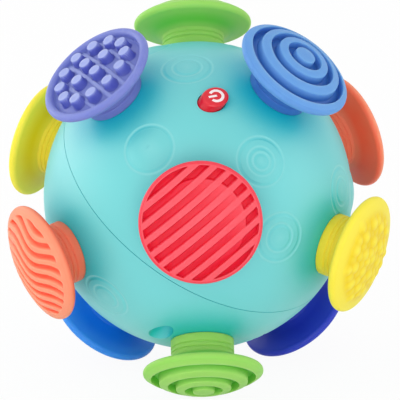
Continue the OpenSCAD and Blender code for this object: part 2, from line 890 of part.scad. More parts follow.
// Cap with a flange behind the wall; its top follows the ball
module power_button() {
  color("#d92b3c")
    shell_frame()
      button_frame()
        difference() {
          union() {
            translate([0, 0, flange_low])
              cylinder(r = flange_r, h = flange_h);
            intersection() {
              translate([0, 0, flange_low + flange_h / 2])
                cylinder(r = button_r, h = shell_r);
              translate([-button_off, 0, 0])
                rotate([0, 0, 180])
                  sphere(r = shell_r + button_lift);
            }
          }
          translate([0, 0, flange_low - cut])
            cylinder(r = switch_stem_r + seat, h = stem_top + seat - flange_low + cut, $fn = 48);
        }
}

module switch_stem() {
  color("#f2f2ee")
    shell_frame()
      button_frame()
        translate([0, 0, stem_low])
          cylinder(r = switch_stem_r, h = stem_top - stem_low, $fn = 48);
}

module push_switch() {
  color("#2c3036")
    shell_frame()
      button_frame()
        difference() {
          translate([-switch_w / 2, -switch_w / 2, board_top])
            cube([switch_w, switch_w, switch_h]);
          translate([0, 0, stem_low - button_travel - side_gap])
            cylinder(r = switch_stem_r + run, h = switch_h, $fn = 48);
        }
}

module circuit_board() {
  color("#3f8f56")
    shell_frame()
      button_frame()
        difference() {
          translate([-board_w / 2, -board_l / 2, board_top - board_t])
            cube([board_w, board_l, board_t]);
          for (t = [-1, 1])
            translate([0, t * board_post, board_top - board_t - cut])
              cylinder(r = small_r + hole_gap, h = board_t + 2 * cut, $fn = 32);
        }
}

module board_screws() {
  color("#c4c8cc")
    shell_frame()
      button_frame()
        for (t = [-1, 1])
          translate([0, t * board_post, board_top - board_t - seat])
            screw(small_r, small_head_r, small_head_h, board_t + board_bite);
}

// Gear train on the chassis: motor pinion, compound gear and output gear

stage_1 = mod_1 * (pinion_teeth + wheel_teeth) / 2;
stage_2 = mod_2 * (pinion_teeth + output_teeth) / 2;
train_turn = 10.5;
train_bend = 62;
to_motor = train_turn + 180 - train_bend;
gear_c = stage_2 * [cos(train_turn), sin(train_turn)];
motor_c = gear_c + stage_1 * [cos(to_motor), sin(to_motor)];
motor_turn = atan2(motor_c[1], motor_c[0]);
wheel_z = chassis_top + side_gap;
out_z = wheel_z + gear_t + side_gap;
pinion_over = 0.3;
cover_z = out_z + gear_t + side_gap + pinion_over;
cover_t = 2.5;
plate_edge = 2;
motor_z = cover_z + cover_t;
pressure = 20;
tip = 0.85;
root = 1.2;
bush_r = shaft_r + 1.5;
bush_flange = 0.8;
sleeve_out = 0.5;

// Half angle of a tooth at radius x: it follows an involute outside the base circle
function involute(base, x) = let (a = acos(min(1, base / x))) tan(a) * 180 / PI - a;
function tooth_half(m, n, x) = let (p = m * n / 2, base = p * cos(pressure))
  90 / n - tooth_slack / p * 180 / PI + involute(base, p) - involute(base, max(x, base));
function gear_points(m, n) = let (
    p = m * n / 2,
    low = p - root * m,
    base = max(low, p * cos(pressure)),
    high = p + tip * m,
    steps = [low, base, (base + p) / 2, p, (p + high) / 2, high],
    last = len(steps) - 1
  ) [
    for (t = [0:n - 1])
      for (i = [0:2 * last + 1])
        let (
          x = steps[i <= last ? i : 2 * last + 1 - i],
          a = 360 * t / n + (i <= last ? -1 : 1) * tooth_half(m, n, x)
        ) [x * cos(a), x * sin(a)]
  ];

module gear(m, n, h) {
  linear_extrude(height = h)
    polygon(gear_points(m, n));
}

module move_to(p) {
  translate([p[0], p[1], 0]) children();
}

module motor_pinion() {
  color("#e8e4d8")
    shell_frame()
      move_to(motor_c)
        translate([0, 0, wheel_z])
          difference() {
            rotate([0, 0, to_motor + 180 + 180 / pinion_teeth])
              gear(mod_1, pinion_teeth, gear_t);
            translate([0, 0, -cut])
              cylinder(r = pin_r + seat, h = gear_t + 2 * cut, $fn = 48);
          }
}

motor_inside = 8;
module motor_shaft() {
  color("#b8bcc0")
    shell_frame()
      move_to(motor_c)
        translate([0, 0, wheel_z])
          cylinder(r = pin_r, h = motor_z - wheel_z + motor_inside, $fn = 48);
}

module compound_gear() {
  color("#f0ece0")
    shell_frame()
      move_to(gear_c)
        translate([0, 0, wheel_z])
          difference() {
            union() {
              rotate([0, 0, to_motor])
                gear(mod_1, wheel_teeth, gear_t);
              translate([0, 0, gear_t - merge])
                rotate([0, 0, train_turn + 180 + 180 / pinion_teeth])
                  gear(mod_2, pinion_teeth, out_z - wheel_z + pinion_over);
            }
            translate([0, 0, -cut])
              cylinder(r = pin_r + run, h = 4 * gear_t, $fn = 48);
          }
}

module compound_pin() {
  color("#b8bcc0")
    shell_frame()
      move_to(gear_c)
        translate([0, 0, -chassis_top])
          cylinder(r = pin_r, h = motor_z + chassis_top, $fn = 48);
}

module output_gear() {
  color("#f0ece0")
    shell_frame()
      translate([0, 0, out_z])
        difference() {
          union() {
            rotate([0, 0, train_turn])
              gear(mod_2, output_teeth, gear_t);
            translate([0, 0, wheel_z + bush_flange - out_z])
              cylinder(r = bush_r + sleeve_out, h = out_z - wheel_z - bush_flange + cut, $fn = 48);
          }
          translate([0, 0, wheel_z - out_z - cut])
            cylinder(r = shaft_r + seat, h = out_z - wheel_z + gear_t + 2 * cut, $fn = 48);
        }
}

weight_drop = 4;
weight_top = -chassis_top - weight_drop;
shaft_over = 0.5;
weight_low = weight_top - weight_t;
hub_top = -chassis_top - bush_flange - side_gap;

module output_shaft() {
  color("#b8bcc0")
    shell_frame()
      translate([0, 0, weight_low - shaft_over])
        cylinder(r = shaft_r, h = motor_z - weight_low, $fn = 48);
}

// Flanged bushes that carry the output shaft in the chassis and in the cover
module bush(length) {
  difference() {
    union() {
      cylinder(r = bush_r, h = length, $fn = 48);
      translate([0, 0, -bush_flange])
        cylinder(r = bush_r + 2 * sleeve_out, h = bush_flange, $fn = 48);
    }
    translate([0, 0, -bush_flange - cut])
      cylinder(r = shaft_r + run, h = length + bush_flange + 2 * cut, $fn = 48);
  }
}

module shaft_bushes() {
  color("#c8a050")
    shell_frame() {
      translate([0, 0, -chassis_top])
        bush(chassis_t + bush_flange);
      translate([0, 0, motor_z])
        mirror([0, 0, 1])
          bush(cover_t);
    }
}

// Off-centre weight: half a disc on a hub, pointing down as the ball rests
module swing_weight() {
  color("#8a8f94")
    shell_frame()
      difference() {
        union() {
          intersection() {
            translate([0, 0, weight_low])
              cylinder(r = weight_r, h = weight_t);
            translate([0, -weight_r, weight_low])
              cube([weight_r, 2 * weight_r, weight_t]);
          }
          translate([0, 0, weight_low])
            cylinder(r = hub_r, h = hub_top - weight_low, $fn = 64);
        }
        translate([0, 0, weight_low - cut])
          cylinder(r = shaft_r + seat, h = weight_t + tall, $fn = 48);
        translate([0, 0, weight_low + weight_t / 2])
          rotate([0, -90, 0])
            cylinder(r = screw_r + seat, h = hub_r + cut, $fn = 32);
      }
}

key_deep = 1.2;
module weight_screw() {
  color("#3a3d42")
    shell_frame()
      translate([-shaft_r - seat, 0, weight_low + weight_t / 2])
        rotate([0, -90, 0])
          difference() {
            cylinder(r = screw_r, h = hub_r - shaft_r, $fn = 32);
            translate([0, 0, hub_r - shaft_r - key_deep])
              cylinder(r = screw_r * point_taper, h = 2 * key_deep, $fn = 6);
          }
}

// Posts that hold the cover over the gears: three around the output gear, one beyond the motor
post_out = 3;
post_collar = 0.8;
post_gap = 1.4;
post_turns = [130, -130, -52.5];
post_ring = mod_2 * output_teeth / 2 + mod_2 + post_out + post_gap;
motor_post_out = 0.3;
motor_post = motor_d / 2 + motor_post_out;
cover_posts = concat(
  [for (t = post_turns) post_ring * [cos(train_turn + t), sin(train_turn + t)]],
  [motor_c + motor_post * [cos(motor_turn), sin(motor_turn)]]
);
cover_bite = 6;
arm_inset = 0.8;
arm_w = 2 * (boss_r - arm_inset);
arm_root = 8;
arm_from = chassis_r - arm_root;

module chassis() {
  color("#e9e6dc")
    shell_frame()
      difference() {
        translate([0, 0, -chassis_top])
          union() {
            cylinder(r = chassis_r, h = chassis_t);
            move_to(gear_c)
              cylinder(r = mod_1 * wheel_teeth / 2 + plate_edge, h = chassis_t);
            in_screws()
              cylinder(r = boss_r, h = chassis_t);
            for (k = [0:4])
              rotate([0, 0, screw_turn(k)])
                translate([arm_from, -arm_w / 2, 0])
                  cube([screw_ring - arm_from, arm_w, chassis_t]);
          }
        in_screws()
          translate([0, 0, -chassis_t])
            cylinder(r = screw_r + hole_gap, h = 2 * chassis_t, $fn = 32);
        translate([0, 0, -chassis_t])
          cylinder(r = bush_r + seat, h = 2 * chassis_t, $fn = 48);
        move_to(gear_c)
          translate([0, 0, -chassis_t])
            cylinder(r = pin_r + seat, h = 2 * chassis_t, $fn = 48);
        for (q = cover_posts)
          move_to(q)
            translate([0, 0, -chassis_t])
              cylinder(r = small_r + hole_gap, h = 2 * chassis_t, $fn = 32);
      }
}

// Outline of the motor's can: a round with two flats
module motor_shape(grow, h) {
  intersection() {
    cylinder(r = motor_d / 2 + grow, h = h);
    translate([-motor_w / 2 - grow, -motor_d, 0])
      cube([motor_w + 2 * grow, 2 * motor_d, h]);
  }
}
motor_nose = 3;
socket_h = 8;
socket_wall = 1.6;

module gear_cover() {
  color("#dcd8cc")
    shell_frame()
      difference() {
        union() {
          translate([0, 0, cover_z]) {
            cylinder(r = mod_2 * output_teeth / 2 + 2 * plate_edge, h = cover_t);
            move_to(gear_c)
              cylinder(r = mod_1 * wheel_teeth / 2 + plate_edge, h = cover_t);
            move_to(motor_c)
              cylinder(r = motor_d / 2 + plate_edge + socket_wall, h = cover_t);
            for (q = cover_posts)
              move_to(q)
                cylinder(r = post_out + post_collar, h = cover_t, $fn = 48);
          }
          for (q = cover_posts)
            move_to(q)
              translate([0, 0, chassis_top])
                cylinder(r = post_out, h = cover_z - chassis_top + cut, $fn = 48);
          move_to(motor_c)
            rotate([0, 0, motor_turn])
              translate([0, 0, motor_z - merge])
                motor_shape(socket_wall, socket_h);
        }
        move_to(motor_c) {
          rotate([0, 0, motor_turn])
            translate([0, 0, motor_z])
              motor_shape(seat, socket_h + cut);
          translate([0, 0, cover_z - cut])
            cylinder(r = motor_nose + seat, h = cover_t + 2 * cut, $fn = 48);
        }
        translate([0, 0, cover_z - cut])
          cylinder(r = bush_r + seat, h = cover_t + 2 * cut, $fn = 48);
        move_to(gear_c)
          translate([0, 0, cover_z - cut])
            cylinder(r = pin_r + seat, h = cover_t + 2 * cut, $fn = 48);
        for (q = cover_posts)
          move_to(q)
            translate([0, 0, chassis_top - cut])
              cylinder(r = small_r + seat, h = cover_bite + 2 * cut, $fn = 32);
      }
}

module gear_cover_screws() {
  color("#c4c8cc")
    shell_frame()
      for (q = cover_posts)
        move_to(q)
          translate([0, 0, -chassis_top - seat])
            screw(small_r, small_head_r, small_head_h, chassis_t + cover_bite);
}

cap_h = 3;
nose_h = 1.5;
module motor() {
  color("#b4b9be")
    shell_frame()
      move_to(motor_c)
        difference() {
          union() {
            rotate([0, 0, motor_turn])
              translate([0, 0, motor_z + seat])
                motor_shape(0, motor_l - cap_h);
            translate([0, 0, motor_z - nose_h])
              cylinder(r = motor_nose, h = 2 * nose_h, $fn = 48);
          }
          translate([0, 0, motor_z - nose_h - cut])
            cylinder(r = pin_r + run, h = motor_inside + nose_h + 2 * cut, $fn = 48);
        }
}

module motor_end_cap() {
  color("#f4f3ee")
    shell_frame()
      move_to(motor_c)
        rotate([0, 0, motor_turn])
          translate([0, 0, motor_z + seat + motor_l - cap_h]) {
            motor_shape(0, cap_h);
            translate([0, 0, cap_h - merge])
              cylinder(r = motor_nose, h = nose_h + merge, $fn = 48);
          }
}

// Battery box with its cells, contacts and springs, and the door over it

cell_side = [1, -1, 1];
cell_nub_l = 1;
cell_nub_r = 1.9;
plate_t = 0.4;
plate_half = 3.6;
plate_h = 8;
plate_gap = 0.1;
tab_t = 2;
tab_r = 4;
fence_t = 0.8;
fence_h = 3;
fence_in = plate_t + plate_gap;

module in_cells() {
  for (k = [0:2])
    translate([0, (k - 1) * cell_pitch, cell_z])
      rotate([0, 90 * cell_side[k], 0])
        children();
}
cell_out = bay_l / 2 - plate_t - plate_gap;

module battery_box() {
  color("#dfe3e4")
    shell_frame()
      bay_frame()
        difference() {
          union() {
            translate([-bay_l / 2 - box_wall, -bay_w / 2 - box_wall, box_floor - box_wall])
              cube([bay_l + 2 * box_wall, bay_w + 2 * box_wall, ledge_low - seat - box_floor + box_wall]);
            for (t = [-1, 1]) {
              translate([box_screw_x, t * box_screw_y - tab_r, ear_low - seat - tab_t])
                cube([-bay_l / 2 - box_screw_x, 2 * tab_r, tab_t]);
              translate([box_screw_x, t * box_screw_y, ear_low - seat - tab_t])
                cylinder(r = tab_r, h = tab_t, $fn = 48);
            }
          }
          difference() {
            translate([-bay_l / 2, -bay_w / 2, box_floor])
              cube([bay_l, bay_w, tall]);
            for (t = [-0.5, 0.5])
              translate([fence_in - bay_l / 2, t * cell_pitch - fence_t / 2, box_floor - cut])
                cube([bay_l - 2 * fence_in, fence_t, fence_h + cut]);
          }
          for (t = [-1, 1])
            translate([box_screw_x, t * box_screw_y, ear_low - tab_t - 2 * cut])
              cylinder(r = small_r + hole_gap, h = tab_t + 3 * cut, $fn = 32);
        }
}

module battery_box_screws() {
  color("#c4c8cc")
    shell_frame()
      bay_frame()
        for (t = [-1, 1])
          translate([box_screw_x, t * box_screw_y, ear_low - 2 * seat - tab_t])
            screw(small_r, small_head_r, small_head_h, tab_t + box_bite);
}

module battery_cells() {
  color("#3b4148")
    shell_frame()
      bay_frame()
        in_cells() {
          translate([0, 0, cell_out - cell_l])
            cylinder(r = cell_r, h = cell_l - cell_nub_l, $fn = 64);
          translate([0, 0, cell_out - cell_nub_l - merge])
            cylinder(r = cell_nub_r, h = cell_nub_l + merge, $fn = 32);
        }
}

// Contact plates on the end walls: single ones for the leads, long ones between two cells
module contact_plate(side, y0, y1) {
  x = side > 0 ? bay_l / 2 - plate_t : -bay_l / 2;
  translate([x, y0 - plate_half, cell_z - plate_h / 2])
    cube([plate_t, y1 - y0 + 2 * plate_half, plate_h]);
}

module battery_contacts() {
  color("#cfc9b8")
    shell_frame()
      bay_frame() {
        contact_plate(1, -cell_pitch, 0);
        contact_plate(1, cell_pitch, cell_pitch);
        contact_plate(-1, -cell_pitch, -cell_pitch);
        contact_plate(-1, 0, cell_pitch);
      }
}

// A closed tube of radius r along a list of points, with flat ends
function unit(v) = v / norm(v);
function tube_ring(path, i, r, sides) = let (
    last = len(path) - 1,
    along = unit(path[min(i + 1, last)] - path[max(i - 1, 0)]),
    side = unit(cross(along, [0.1, 0.2, 1])),
    up = cross(side, along)
  ) [for (k = [0:sides - 1]) let (a = 360 * k / sides) path[i] + r * (cos(a) * side + sin(a) * up)];

module tube(path, r, sides) {
  n = len(path);
  polyhedron(
    points = [for (i = [0:n - 1]) each tube_ring(path, i, r, sides)],
    faces = concat(
      [[for (k = [0:sides - 1]) k]],
      [for (i = [0:n - 2]) for (k = [0:sides - 1]) let (a = i * sides, b = (k + 1) % sides)
        [a + k, a + sides + k, a + sides + b, a + b]],
      [[for (k = [sides - 1:-1:0]) (n - 1) * sides + k]]
    )
  );
}

spring_wire = 0.3;
spring_r0 = 3.6;
spring_r1 = 2.2;
spring_turns = 3;
spring_steps = 14;
spring_z0 = -bay_l / 2 + plate_t + spring_wire + seat;
spring_z1 = cell_out - cell_l - spring_wire - seat;
spring_path = [
  for (i = [0:spring_turns * spring_steps])
    let (
      t = i / (spring_turns * spring_steps),
      a = 360 * spring_turns * t,
      r = spring_r0 + (spring_r1 - spring_r0) * t
    )
      [r * cos(a), r * sin(a), spring_z0 + (spring_z1 - spring_z0) * t]
];

module battery_springs() {
  color("#d0d2d4")
    shell_frame()
      bay_frame()
        in_cells()
          tube(spring_path, spring_wire, 6);
}

module battery_door() {
  color("#7fd0cf")
    shell_frame()
      bay_frame()
        difference() {
          union() {
            intersection() {
              translate([0, 0, door_low])
                door_shape(-door_gap, shell_r);
              difference() {
                sphere(r = shell_r);
                sphere(r = inner_r + seat);
              }
            }
            intersection() {
              translate([door_screw_x, 0, pad_low])
                cylinder(r = pad_r, h = tall);
              sphere(r = skin_out);
            }
          }
          translate([door_screw_x, 0, door_shelf])
            cylinder(r = small_head_r + side_gap, h = tall, $fn = 48);
          translate([door_screw_x, 0, door_shelf - tall / 2])
            cylinder(r = small_r + hole_gap, h = tall, $fn = 32);
        }
}

module door_screw() {
  color("#c4c8cc")
    shell_frame()
      bay_frame()
        translate([door_screw_x, 0, door_shelf + seat])
          mirror([0, 0, 1])
            screw(small_r, small_head_r, small_head_h, door_shelf - door_low - 2 * cut);
}

upper_shell();
lower_shell();
shell_screws();
knob_red_front();
knob_red_back();
knob_purple_top();
knob_purple_base();
knob_blue_top();
knob_blue_base();
knob_green_top();
knob_green_base();
knob_orange_left();
knob_orange_right();
knob_yellow_right();
knob_yellow_left();
knob_plugs();
power_button();
switch_stem();
push_switch();
circuit_board();
board_screws();
chassis();
gear_cover();
gear_cover_screws();
motor();
motor_end_cap();
motor_shaft();
motor_pinion();
compound_gear();
compound_pin();
output_gear();
output_shaft();
shaft_bushes();
swing_weight();
weight_screw();
battery_box();
battery_box_screws();
battery_cells();
battery_contacts();
battery_springs();
battery_door();
door_screw();
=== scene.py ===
# %% [markdown]
# # A sensory ball, dressed for its portrait
# The ball is a hollow teal shell with twelve soft knobs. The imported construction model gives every
# piece its size and place, so this lesson only adds what a camera sees: moulded rubber, plastic,
# a printed sign, light and a lens. We start by loading that model as a fixed frame.

# %% Load the frame
import json

import bpy
import numpy as np
from mathutils import Matrix, Vector


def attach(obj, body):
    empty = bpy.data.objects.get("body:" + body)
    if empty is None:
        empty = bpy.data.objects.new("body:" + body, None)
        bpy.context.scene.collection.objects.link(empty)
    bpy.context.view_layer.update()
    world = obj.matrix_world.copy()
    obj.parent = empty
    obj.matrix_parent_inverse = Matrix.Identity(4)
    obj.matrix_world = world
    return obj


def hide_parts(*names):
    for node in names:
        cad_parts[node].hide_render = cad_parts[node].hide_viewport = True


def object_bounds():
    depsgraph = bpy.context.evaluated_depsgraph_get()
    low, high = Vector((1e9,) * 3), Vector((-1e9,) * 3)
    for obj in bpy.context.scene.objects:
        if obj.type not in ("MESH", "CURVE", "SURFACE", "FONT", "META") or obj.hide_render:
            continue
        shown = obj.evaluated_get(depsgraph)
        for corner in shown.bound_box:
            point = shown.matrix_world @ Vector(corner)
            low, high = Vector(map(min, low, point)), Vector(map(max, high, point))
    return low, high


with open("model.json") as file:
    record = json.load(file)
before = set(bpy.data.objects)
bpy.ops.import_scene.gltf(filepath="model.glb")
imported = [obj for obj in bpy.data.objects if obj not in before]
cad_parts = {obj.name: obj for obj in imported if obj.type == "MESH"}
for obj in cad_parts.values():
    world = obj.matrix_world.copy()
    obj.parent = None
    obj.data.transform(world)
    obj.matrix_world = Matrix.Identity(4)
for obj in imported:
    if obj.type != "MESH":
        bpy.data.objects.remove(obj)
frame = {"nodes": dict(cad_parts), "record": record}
cad_box = [list(corner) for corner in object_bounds()]
print("nodes in the frame:", len(frame["nodes"]))

# %% [markdown]
# ## Sizes
# The knobs are made again here as smooth surfaces, because soft rubber has rounded edges that a
# construction model leaves sharp. They follow the same sizes, in metres. Only the neck is a little
# longer, with two fine collars.

# %% Sizes of the ball and its knobs
MM = 0.001
SHELL_R = 70 * MM
WALL = 2.6 * MM
KNOB_R = 27 * MM
RIM_LIFT = 13.4 * MM
RIM_ROUND = 2 * MM
NECK_R = 14.2 * MM
NECK_H = 7 * MM
COLLARS = (2.9 * MM, 5.1 * MM)
COLLAR_CUT = 0.45 * MM
PAST_CUT = 1.2 * COLLAR_CUT
FLARE_R = 30 * MM
STEM_R = 10 * MM
BORE_R = 6.5 * MM
BORE_UP = 5.5 * MM
BEAD_R = 11.4 * MM
BEAD_H = 2.6 * MM
SEAT = 0.05 * MM
BEAD_SLOPE = 0.2 * MM
FOOT_HOLLOW = 0.7 * MM
FOOT_EDGE = 0.3 * MM
RIM_Z = SHELL_R + RIM_LIFT
RIM_X = KNOB_R - RIM_ROUND

# The knobs sit on the corners of an icosahedron that stands on a face. Two angles from the upright
# axis place the upper six, and the lower six mirror them.
TILT_NEAR = np.degrees(np.arccos(np.sqrt((5 + 2 * np.sqrt(5)) / 15)))
TILT_FAR = np.degrees(np.arccos(np.sqrt((5 - 2 * np.sqrt(5)) / 15)))

# Each knob: angle from the upright axis, turn about it, turn about its own axis, texture, slot
KNOBS = {
    "knob_purple_top": (TILT_NEAR, -150, -5.4, "pegs", "knob_purple"),
    "knob_blue_top": (TILT_NEAR, -30, 0, "rings", "knob_blue"),
    "knob_green_top": (TILT_NEAR, 90, 0, "rings", "knob_green"),
    "knob_red_front": (TILT_FAR, -90, 129, "ridges", "knob_red"),
    "knob_orange_right": (TILT_FAR, 30, -15.6, "waves", "knob_orange"),
    "knob_yellow_left": (TILT_FAR, 150, 0, "nubs", "knob_yellow"),
    "knob_orange_left": (180 - TILT_FAR, -150, -15.6, "waves", "knob_orange"),
    "knob_yellow_right": (180 - TILT_FAR, -30, 0, "nubs", "knob_yellow"),
    "knob_red_back": (180 - TILT_FAR, 90, 129, "ridges", "knob_red"),
    "knob_green_base": (180 - TILT_NEAR, -90, 0, "rings", "knob_green"),
    "knob_blue_base": (180 - TILT_NEAR, 150, 0, "rings", "knob_blue"),
    "knob_purple_base": (180 - TILT_NEAR, 30, -5.4, "pegs", "knob_purple"),
}
print("knobs:", ", ".join(KNOBS))

# %% [markdown]
# ## Turning a direction into a frame
# A knob's own frame has its third axis along the knob. A turn spins the knob on its stem, one about
# the second axis leans it over, and one about the upright axis brings it to its place.


# %% Frames of the knobs
def turn_about(axis, degrees):
    """A 3 by 3 turn about the x, y or z axis, from the cosine and sine of the angle."""
    return np.array(Matrix.Rotation(np.radians(degrees), 3, axis))


def site_axes(polar, azimuth, twist=0):
    """Columns are a site's own axes: azimuth about z, after polar about y, after twist about z."""
    return turn_about("Z", azimuth) @ turn_about("Y", polar) @ turn_about("Z", twist)


print("front knob points to", np.round(site_axes(*KNOBS["knob_red_front"][:3])[:, 2], 3))

# %% [markdown]
# ## The camera
# The photograph was taken from far away with a long lens: the knobs at the front hardly grow. The
# camera stands about 19 degrees above the ball's middle and is rolled a little.

# %% Camera
PHOTO_SIDE = 400
VIEW_DIR = Vector((-0.01062, -0.94619, 0.32345))
VIEW_UP = Vector((0.02668, 0.32308, 0.94600))
VIEW_DISTANCE = 25.249 * SHELL_R
FOCAL_PX = 3888.9
BALL_PX = (197.836, 195.479)
SENSOR_MM = 36

camera_data = bpy.data.cameras.new("portrait_camera")
camera_data.sensor_width = SENSOR_MM
camera_data.lens = SENSOR_MM * FOCAL_PX / PHOTO_SIDE
camera_data.shift_x = (PHOTO_SIDE / 2 - BALL_PX[0]) / PHOTO_SIDE
camera_data.shift_y = -(PHOTO_SIDE / 2 - BALL_PX[1]) / PHOTO_SIDE
camera = bpy.data.objects.new("portrait_camera", camera_data)
bpy.context.scene.collection.objects.link(camera)
back = VIEW_DIR.normalized()
right = VIEW_UP.cross(back).normalized()
up = back.cross(right)
facing = Matrix((right, up, back)).transposed().to_4x4()
camera.matrix_world = Matrix.Translation(back * VIEW_DISTANCE) @ facing
bpy.context.scene.camera = camera
print("lens", round(camera_data.lens, 1), "mm")

# %% [markdown]
# ## A pen for shaders
# Shader nodes are easier to read as sums and products. `Wire` wraps an output socket, and its
# operators add Math nodes. `Finish` holds one material, and its `node` method adds any other node.


# %% Shader helpers
class Wire:
    """An output socket that takes part in sums: each operator adds one Math node."""

    def __init__(self, finish, socket):
        self.finish = finish
        self.socket = socket

    def math(self, operation, first, second):
        return self.finish.node("ShaderNodeMath", {"operation": operation}, {0: first, 1: second})

    def __add__(self, other):
        return self.math("ADD", self, other)

    def __radd__(self, other):
        return self.math("ADD", other, self)

    def __sub__(self, other):
        return self.math("SUBTRACT", self, other)

    def __rsub__(self, other):
        return self.math("SUBTRACT", other, self)

    def __mul__(self, other):
        return self.math("MULTIPLY", self, other)

    def __rmul__(self, other):
        return self.math("MULTIPLY", other, self)


class Finish:
    """The nodes of one material or of the world."""

    def __init__(self, block, output="ShaderNodeOutputMaterial"):
        block.use_nodes = True
        self.block = block
        self.tree = block.node_tree
        self.tree.nodes.clear()
        self.made = self.tree.nodes.new(output)

    def node(self, kind, settings, sockets, out=0):
        """Adds a node of that kind: its settings first, then values or wires on its sockets."""
        new = self.tree.nodes.new(kind)
        for key, value in settings.items():
            if key == "stops":
                self.set_stops(new.color_ramp, value)
            else:
                setattr(new, key, value)
        for key, value in sockets.items():
            if isinstance(value, Wire):
                self.tree.links.new(value.socket, new.inputs[key])
            else:
                new.inputs[key].default_value = value
        return Wire(self, new.outputs[out])

    def set_stops(self, ramp, stops):
        """Gives a colour ramp its stops, each a place and a colour."""
        while len(ramp.elements) < len(stops):
            ramp.elements.new(1)
        for element, (place, colour) in zip(ramp.elements, stops):
            element.position = place
            element.color = colour

    def place(self):
        """Object coordinates, which are the frame's own metres."""
        return self.node("ShaderNodeTexCoord", {}, {}, "Object")

    def noise(self, size, detail=3.0):
        """Cloudy noise whose lumps are about size metres wide, from 0 to 1."""
        sockets = {"Vector": self.place(), "Scale": 1 / size, "Detail": detail}
        return self.node("ShaderNodeTexNoise", {}, sockets)

    def mix(self, amount, first, second):
        """A colour between two colours."""
        sockets = {0: amount, 6: first, 7: second}
        return self.node("ShaderNodeMix", {"data_type": "RGBA"}, sockets, 2)

    def bump(self, height, distance):
        """A normal bent by a height in units of distance."""
        sockets = {"Height": height, "Distance": distance, "Strength": 1.0}
        return self.node("ShaderNodeBump", {}, sockets)

    def surface(self, shader):
        """Ends the tree with that shader and gives back the material or the world."""
        self.tree.links.new(shader.socket, self.made.inputs["Surface"])
        return self.block


def linear(red, green, blue):
    """A colour in linear light from the 0 to 255 values that a screen shows."""
    screen = np.array([red, green, blue]) / 255
    light = np.where(screen <= 0.04045, screen / 12.92, ((screen + 0.055) / 1.055) ** 2.4)
    return (*light.tolist(), 1.0)


def new_finish(name):
    """An empty material under that name."""
    return Finish(bpy.data.materials.new(name))


def shade(colour, factor):
    """A colour made lighter or darker."""
    return tuple(min(1.0, channel * factor) for channel in colour[:3]) + (1.0,)


print("shader pen ready")

# %% [markdown]
# ## Rubber
# The knobs are soft moulded rubber. Light and shade are painted into their colour: thin edges,
# necks and the crests of the texture are painted paler, a painted highlight, and the hollows keep
# the full, deeper colour, a painted shade. Each knob's mesh carries that as a number called
# crest, so one finish serves every texture. A painted map could do the same, but it would
# need an unwrapped surface. Two knobs under the ball take darker copies of their colours, a painted
# shade.

# %% Rubber finishes
FINE_DETAIL = 2.0
RUBBER_CLOUD = 12 * MM
RUBBER_RUB = 4 * MM
RUBBER_SKIN = 0.45 * MM
RUBBER_GRAIN = 0.03 * MM
RUBBER_DEPTH = 5 * MM


def rubber(name, deep, pale):
    """Deep colour painted as shade in the hollows, pale painted as highlight on the crests, clouded,
    with a fine satin grain.
    """
    finish = new_finish(name)
    # crest from the mesh: high on crests and edges for painted highlight, low in hollows for painted
    # shade
    crest = finish.node("ShaderNodeAttribute", {"attribute_name": "crest"}, {}, "Fac")
    slow = finish.noise(RUBBER_CLOUD)
    rubbed = finish.noise(RUBBER_RUB)
    fine = finish.noise(RUBBER_SKIN, FINE_DETAIL)
    shader = finish.node("ShaderNodeBsdfPrincipled", {"subsurface_method": "RANDOM_WALK"}, {
        "Base Color": finish.mix(crest + 0.2 * slow - 0.1, deep, pale),
        "Roughness": 0.4 + 0.08 * crest + 0.12 * rubbed,
        "Normal": finish.bump(fine, RUBBER_GRAIN),
        "Specular IOR Level": 0.35,
        "Subsurface Weight": 0.55,
        "Subsurface Radius": (1, 1, 1),
        "Subsurface Scale": RUBBER_DEPTH,
    })
    return finish.surface(shader)


# Each pair: the deep colour is painted shade in hollows, the pale colour is painted highlight on
# crests
KNOB_COLOURS = {
    "knob_red": (linear(232, 24, 56), linear(243, 88, 100)),
    "knob_purple": (linear(84, 94, 184), linear(156, 168, 222)),
    "knob_blue": (linear(52, 112, 192), linear(102, 158, 220)),
    "knob_green": (linear(112, 204, 70), linear(154, 212, 98)),
    "knob_orange": (linear(255, 94, 60), linear(246, 150, 116)),
    "knob_yellow": (linear(238, 208, 6), linear(249, 229, 72)),
    # Darker copies of the purple and the blue for the two lowest knobs, a painted shade
    "shaded_purple_rubber": (linear(28, 46, 180), linear(60, 80, 206)),
    "shaded_blue_rubber": (linear(4, 116, 226), linear(64, 148, 236)),
}
finishes = {slot: rubber(slot, *pair) for slot, pair in KNOB_COLOURS.items()}
print("rubber finishes:", len(finishes))

# %% [markdown]
# ## Plastics
# The button and the pieces inside are plain moulded plastic. Each finish mixes two near colours by
# a slow noise and bends the light with a fine one. One even colour would be simpler, but no moulding
# is quite even.

# %% Moulded finishes
CLOUD = 18 * MM
RUB = 5 * MM
SKIN = 0.5 * MM


def moulded(name, colour, rough, grain, cloud=0.08, coat=0.0):
    """Moulded plastic: clouded colour, uneven roughness and a fine skin grain."""
    finish = new_finish(name)
    slow = finish.noise(CLOUD)
    fine = finish.noise(SKIN, FINE_DETAIL)
    rubbed = finish.noise(RUB)
    shader = finish.node("ShaderNodeBsdfPrincipled", {}, {
        "Base Color": finish.mix(slow, shade(colour, 1 - cloud), shade(colour, 1 + cloud)),
        "Roughness": rough - 0.06 + 0.12 * rubbed,
        "Normal": finish.bump(fine, grain),
        "Coat Weight": coat,
        "Coat Roughness": 0.2,
    })
    return finish.surface(shader)


print("moulded plastic clouds over", CLOUD, "metres")

# %% [markdown]
# ## The shell's finish
# Soft rings are moulded into the shell. Their outer edges and middles are painted a little paler,
# a painted highlight, and their hollows a little deeper, a painted shade. The distance to the
# middle of the nearest relief says where a point lies. A painted mask could say it too, but a
# distance needs no unwrapped surface. The teal is also painted deeper where the knobs stand close,
# a painted shade, and a strong sheen pales it wherever it faces open light.

# %% Places of the reliefs
SHELL_AXES = site_axes(TILT_NEAR, -30)

# Radii of the rings of each kind of relief, and how far a relief reaches, in millimetres
RELIEF_RINGS = {0: (10.8,), 1: (6, 10.8), 2: (3.4, 6, 10.8)}
RELIEF_REACH = 14

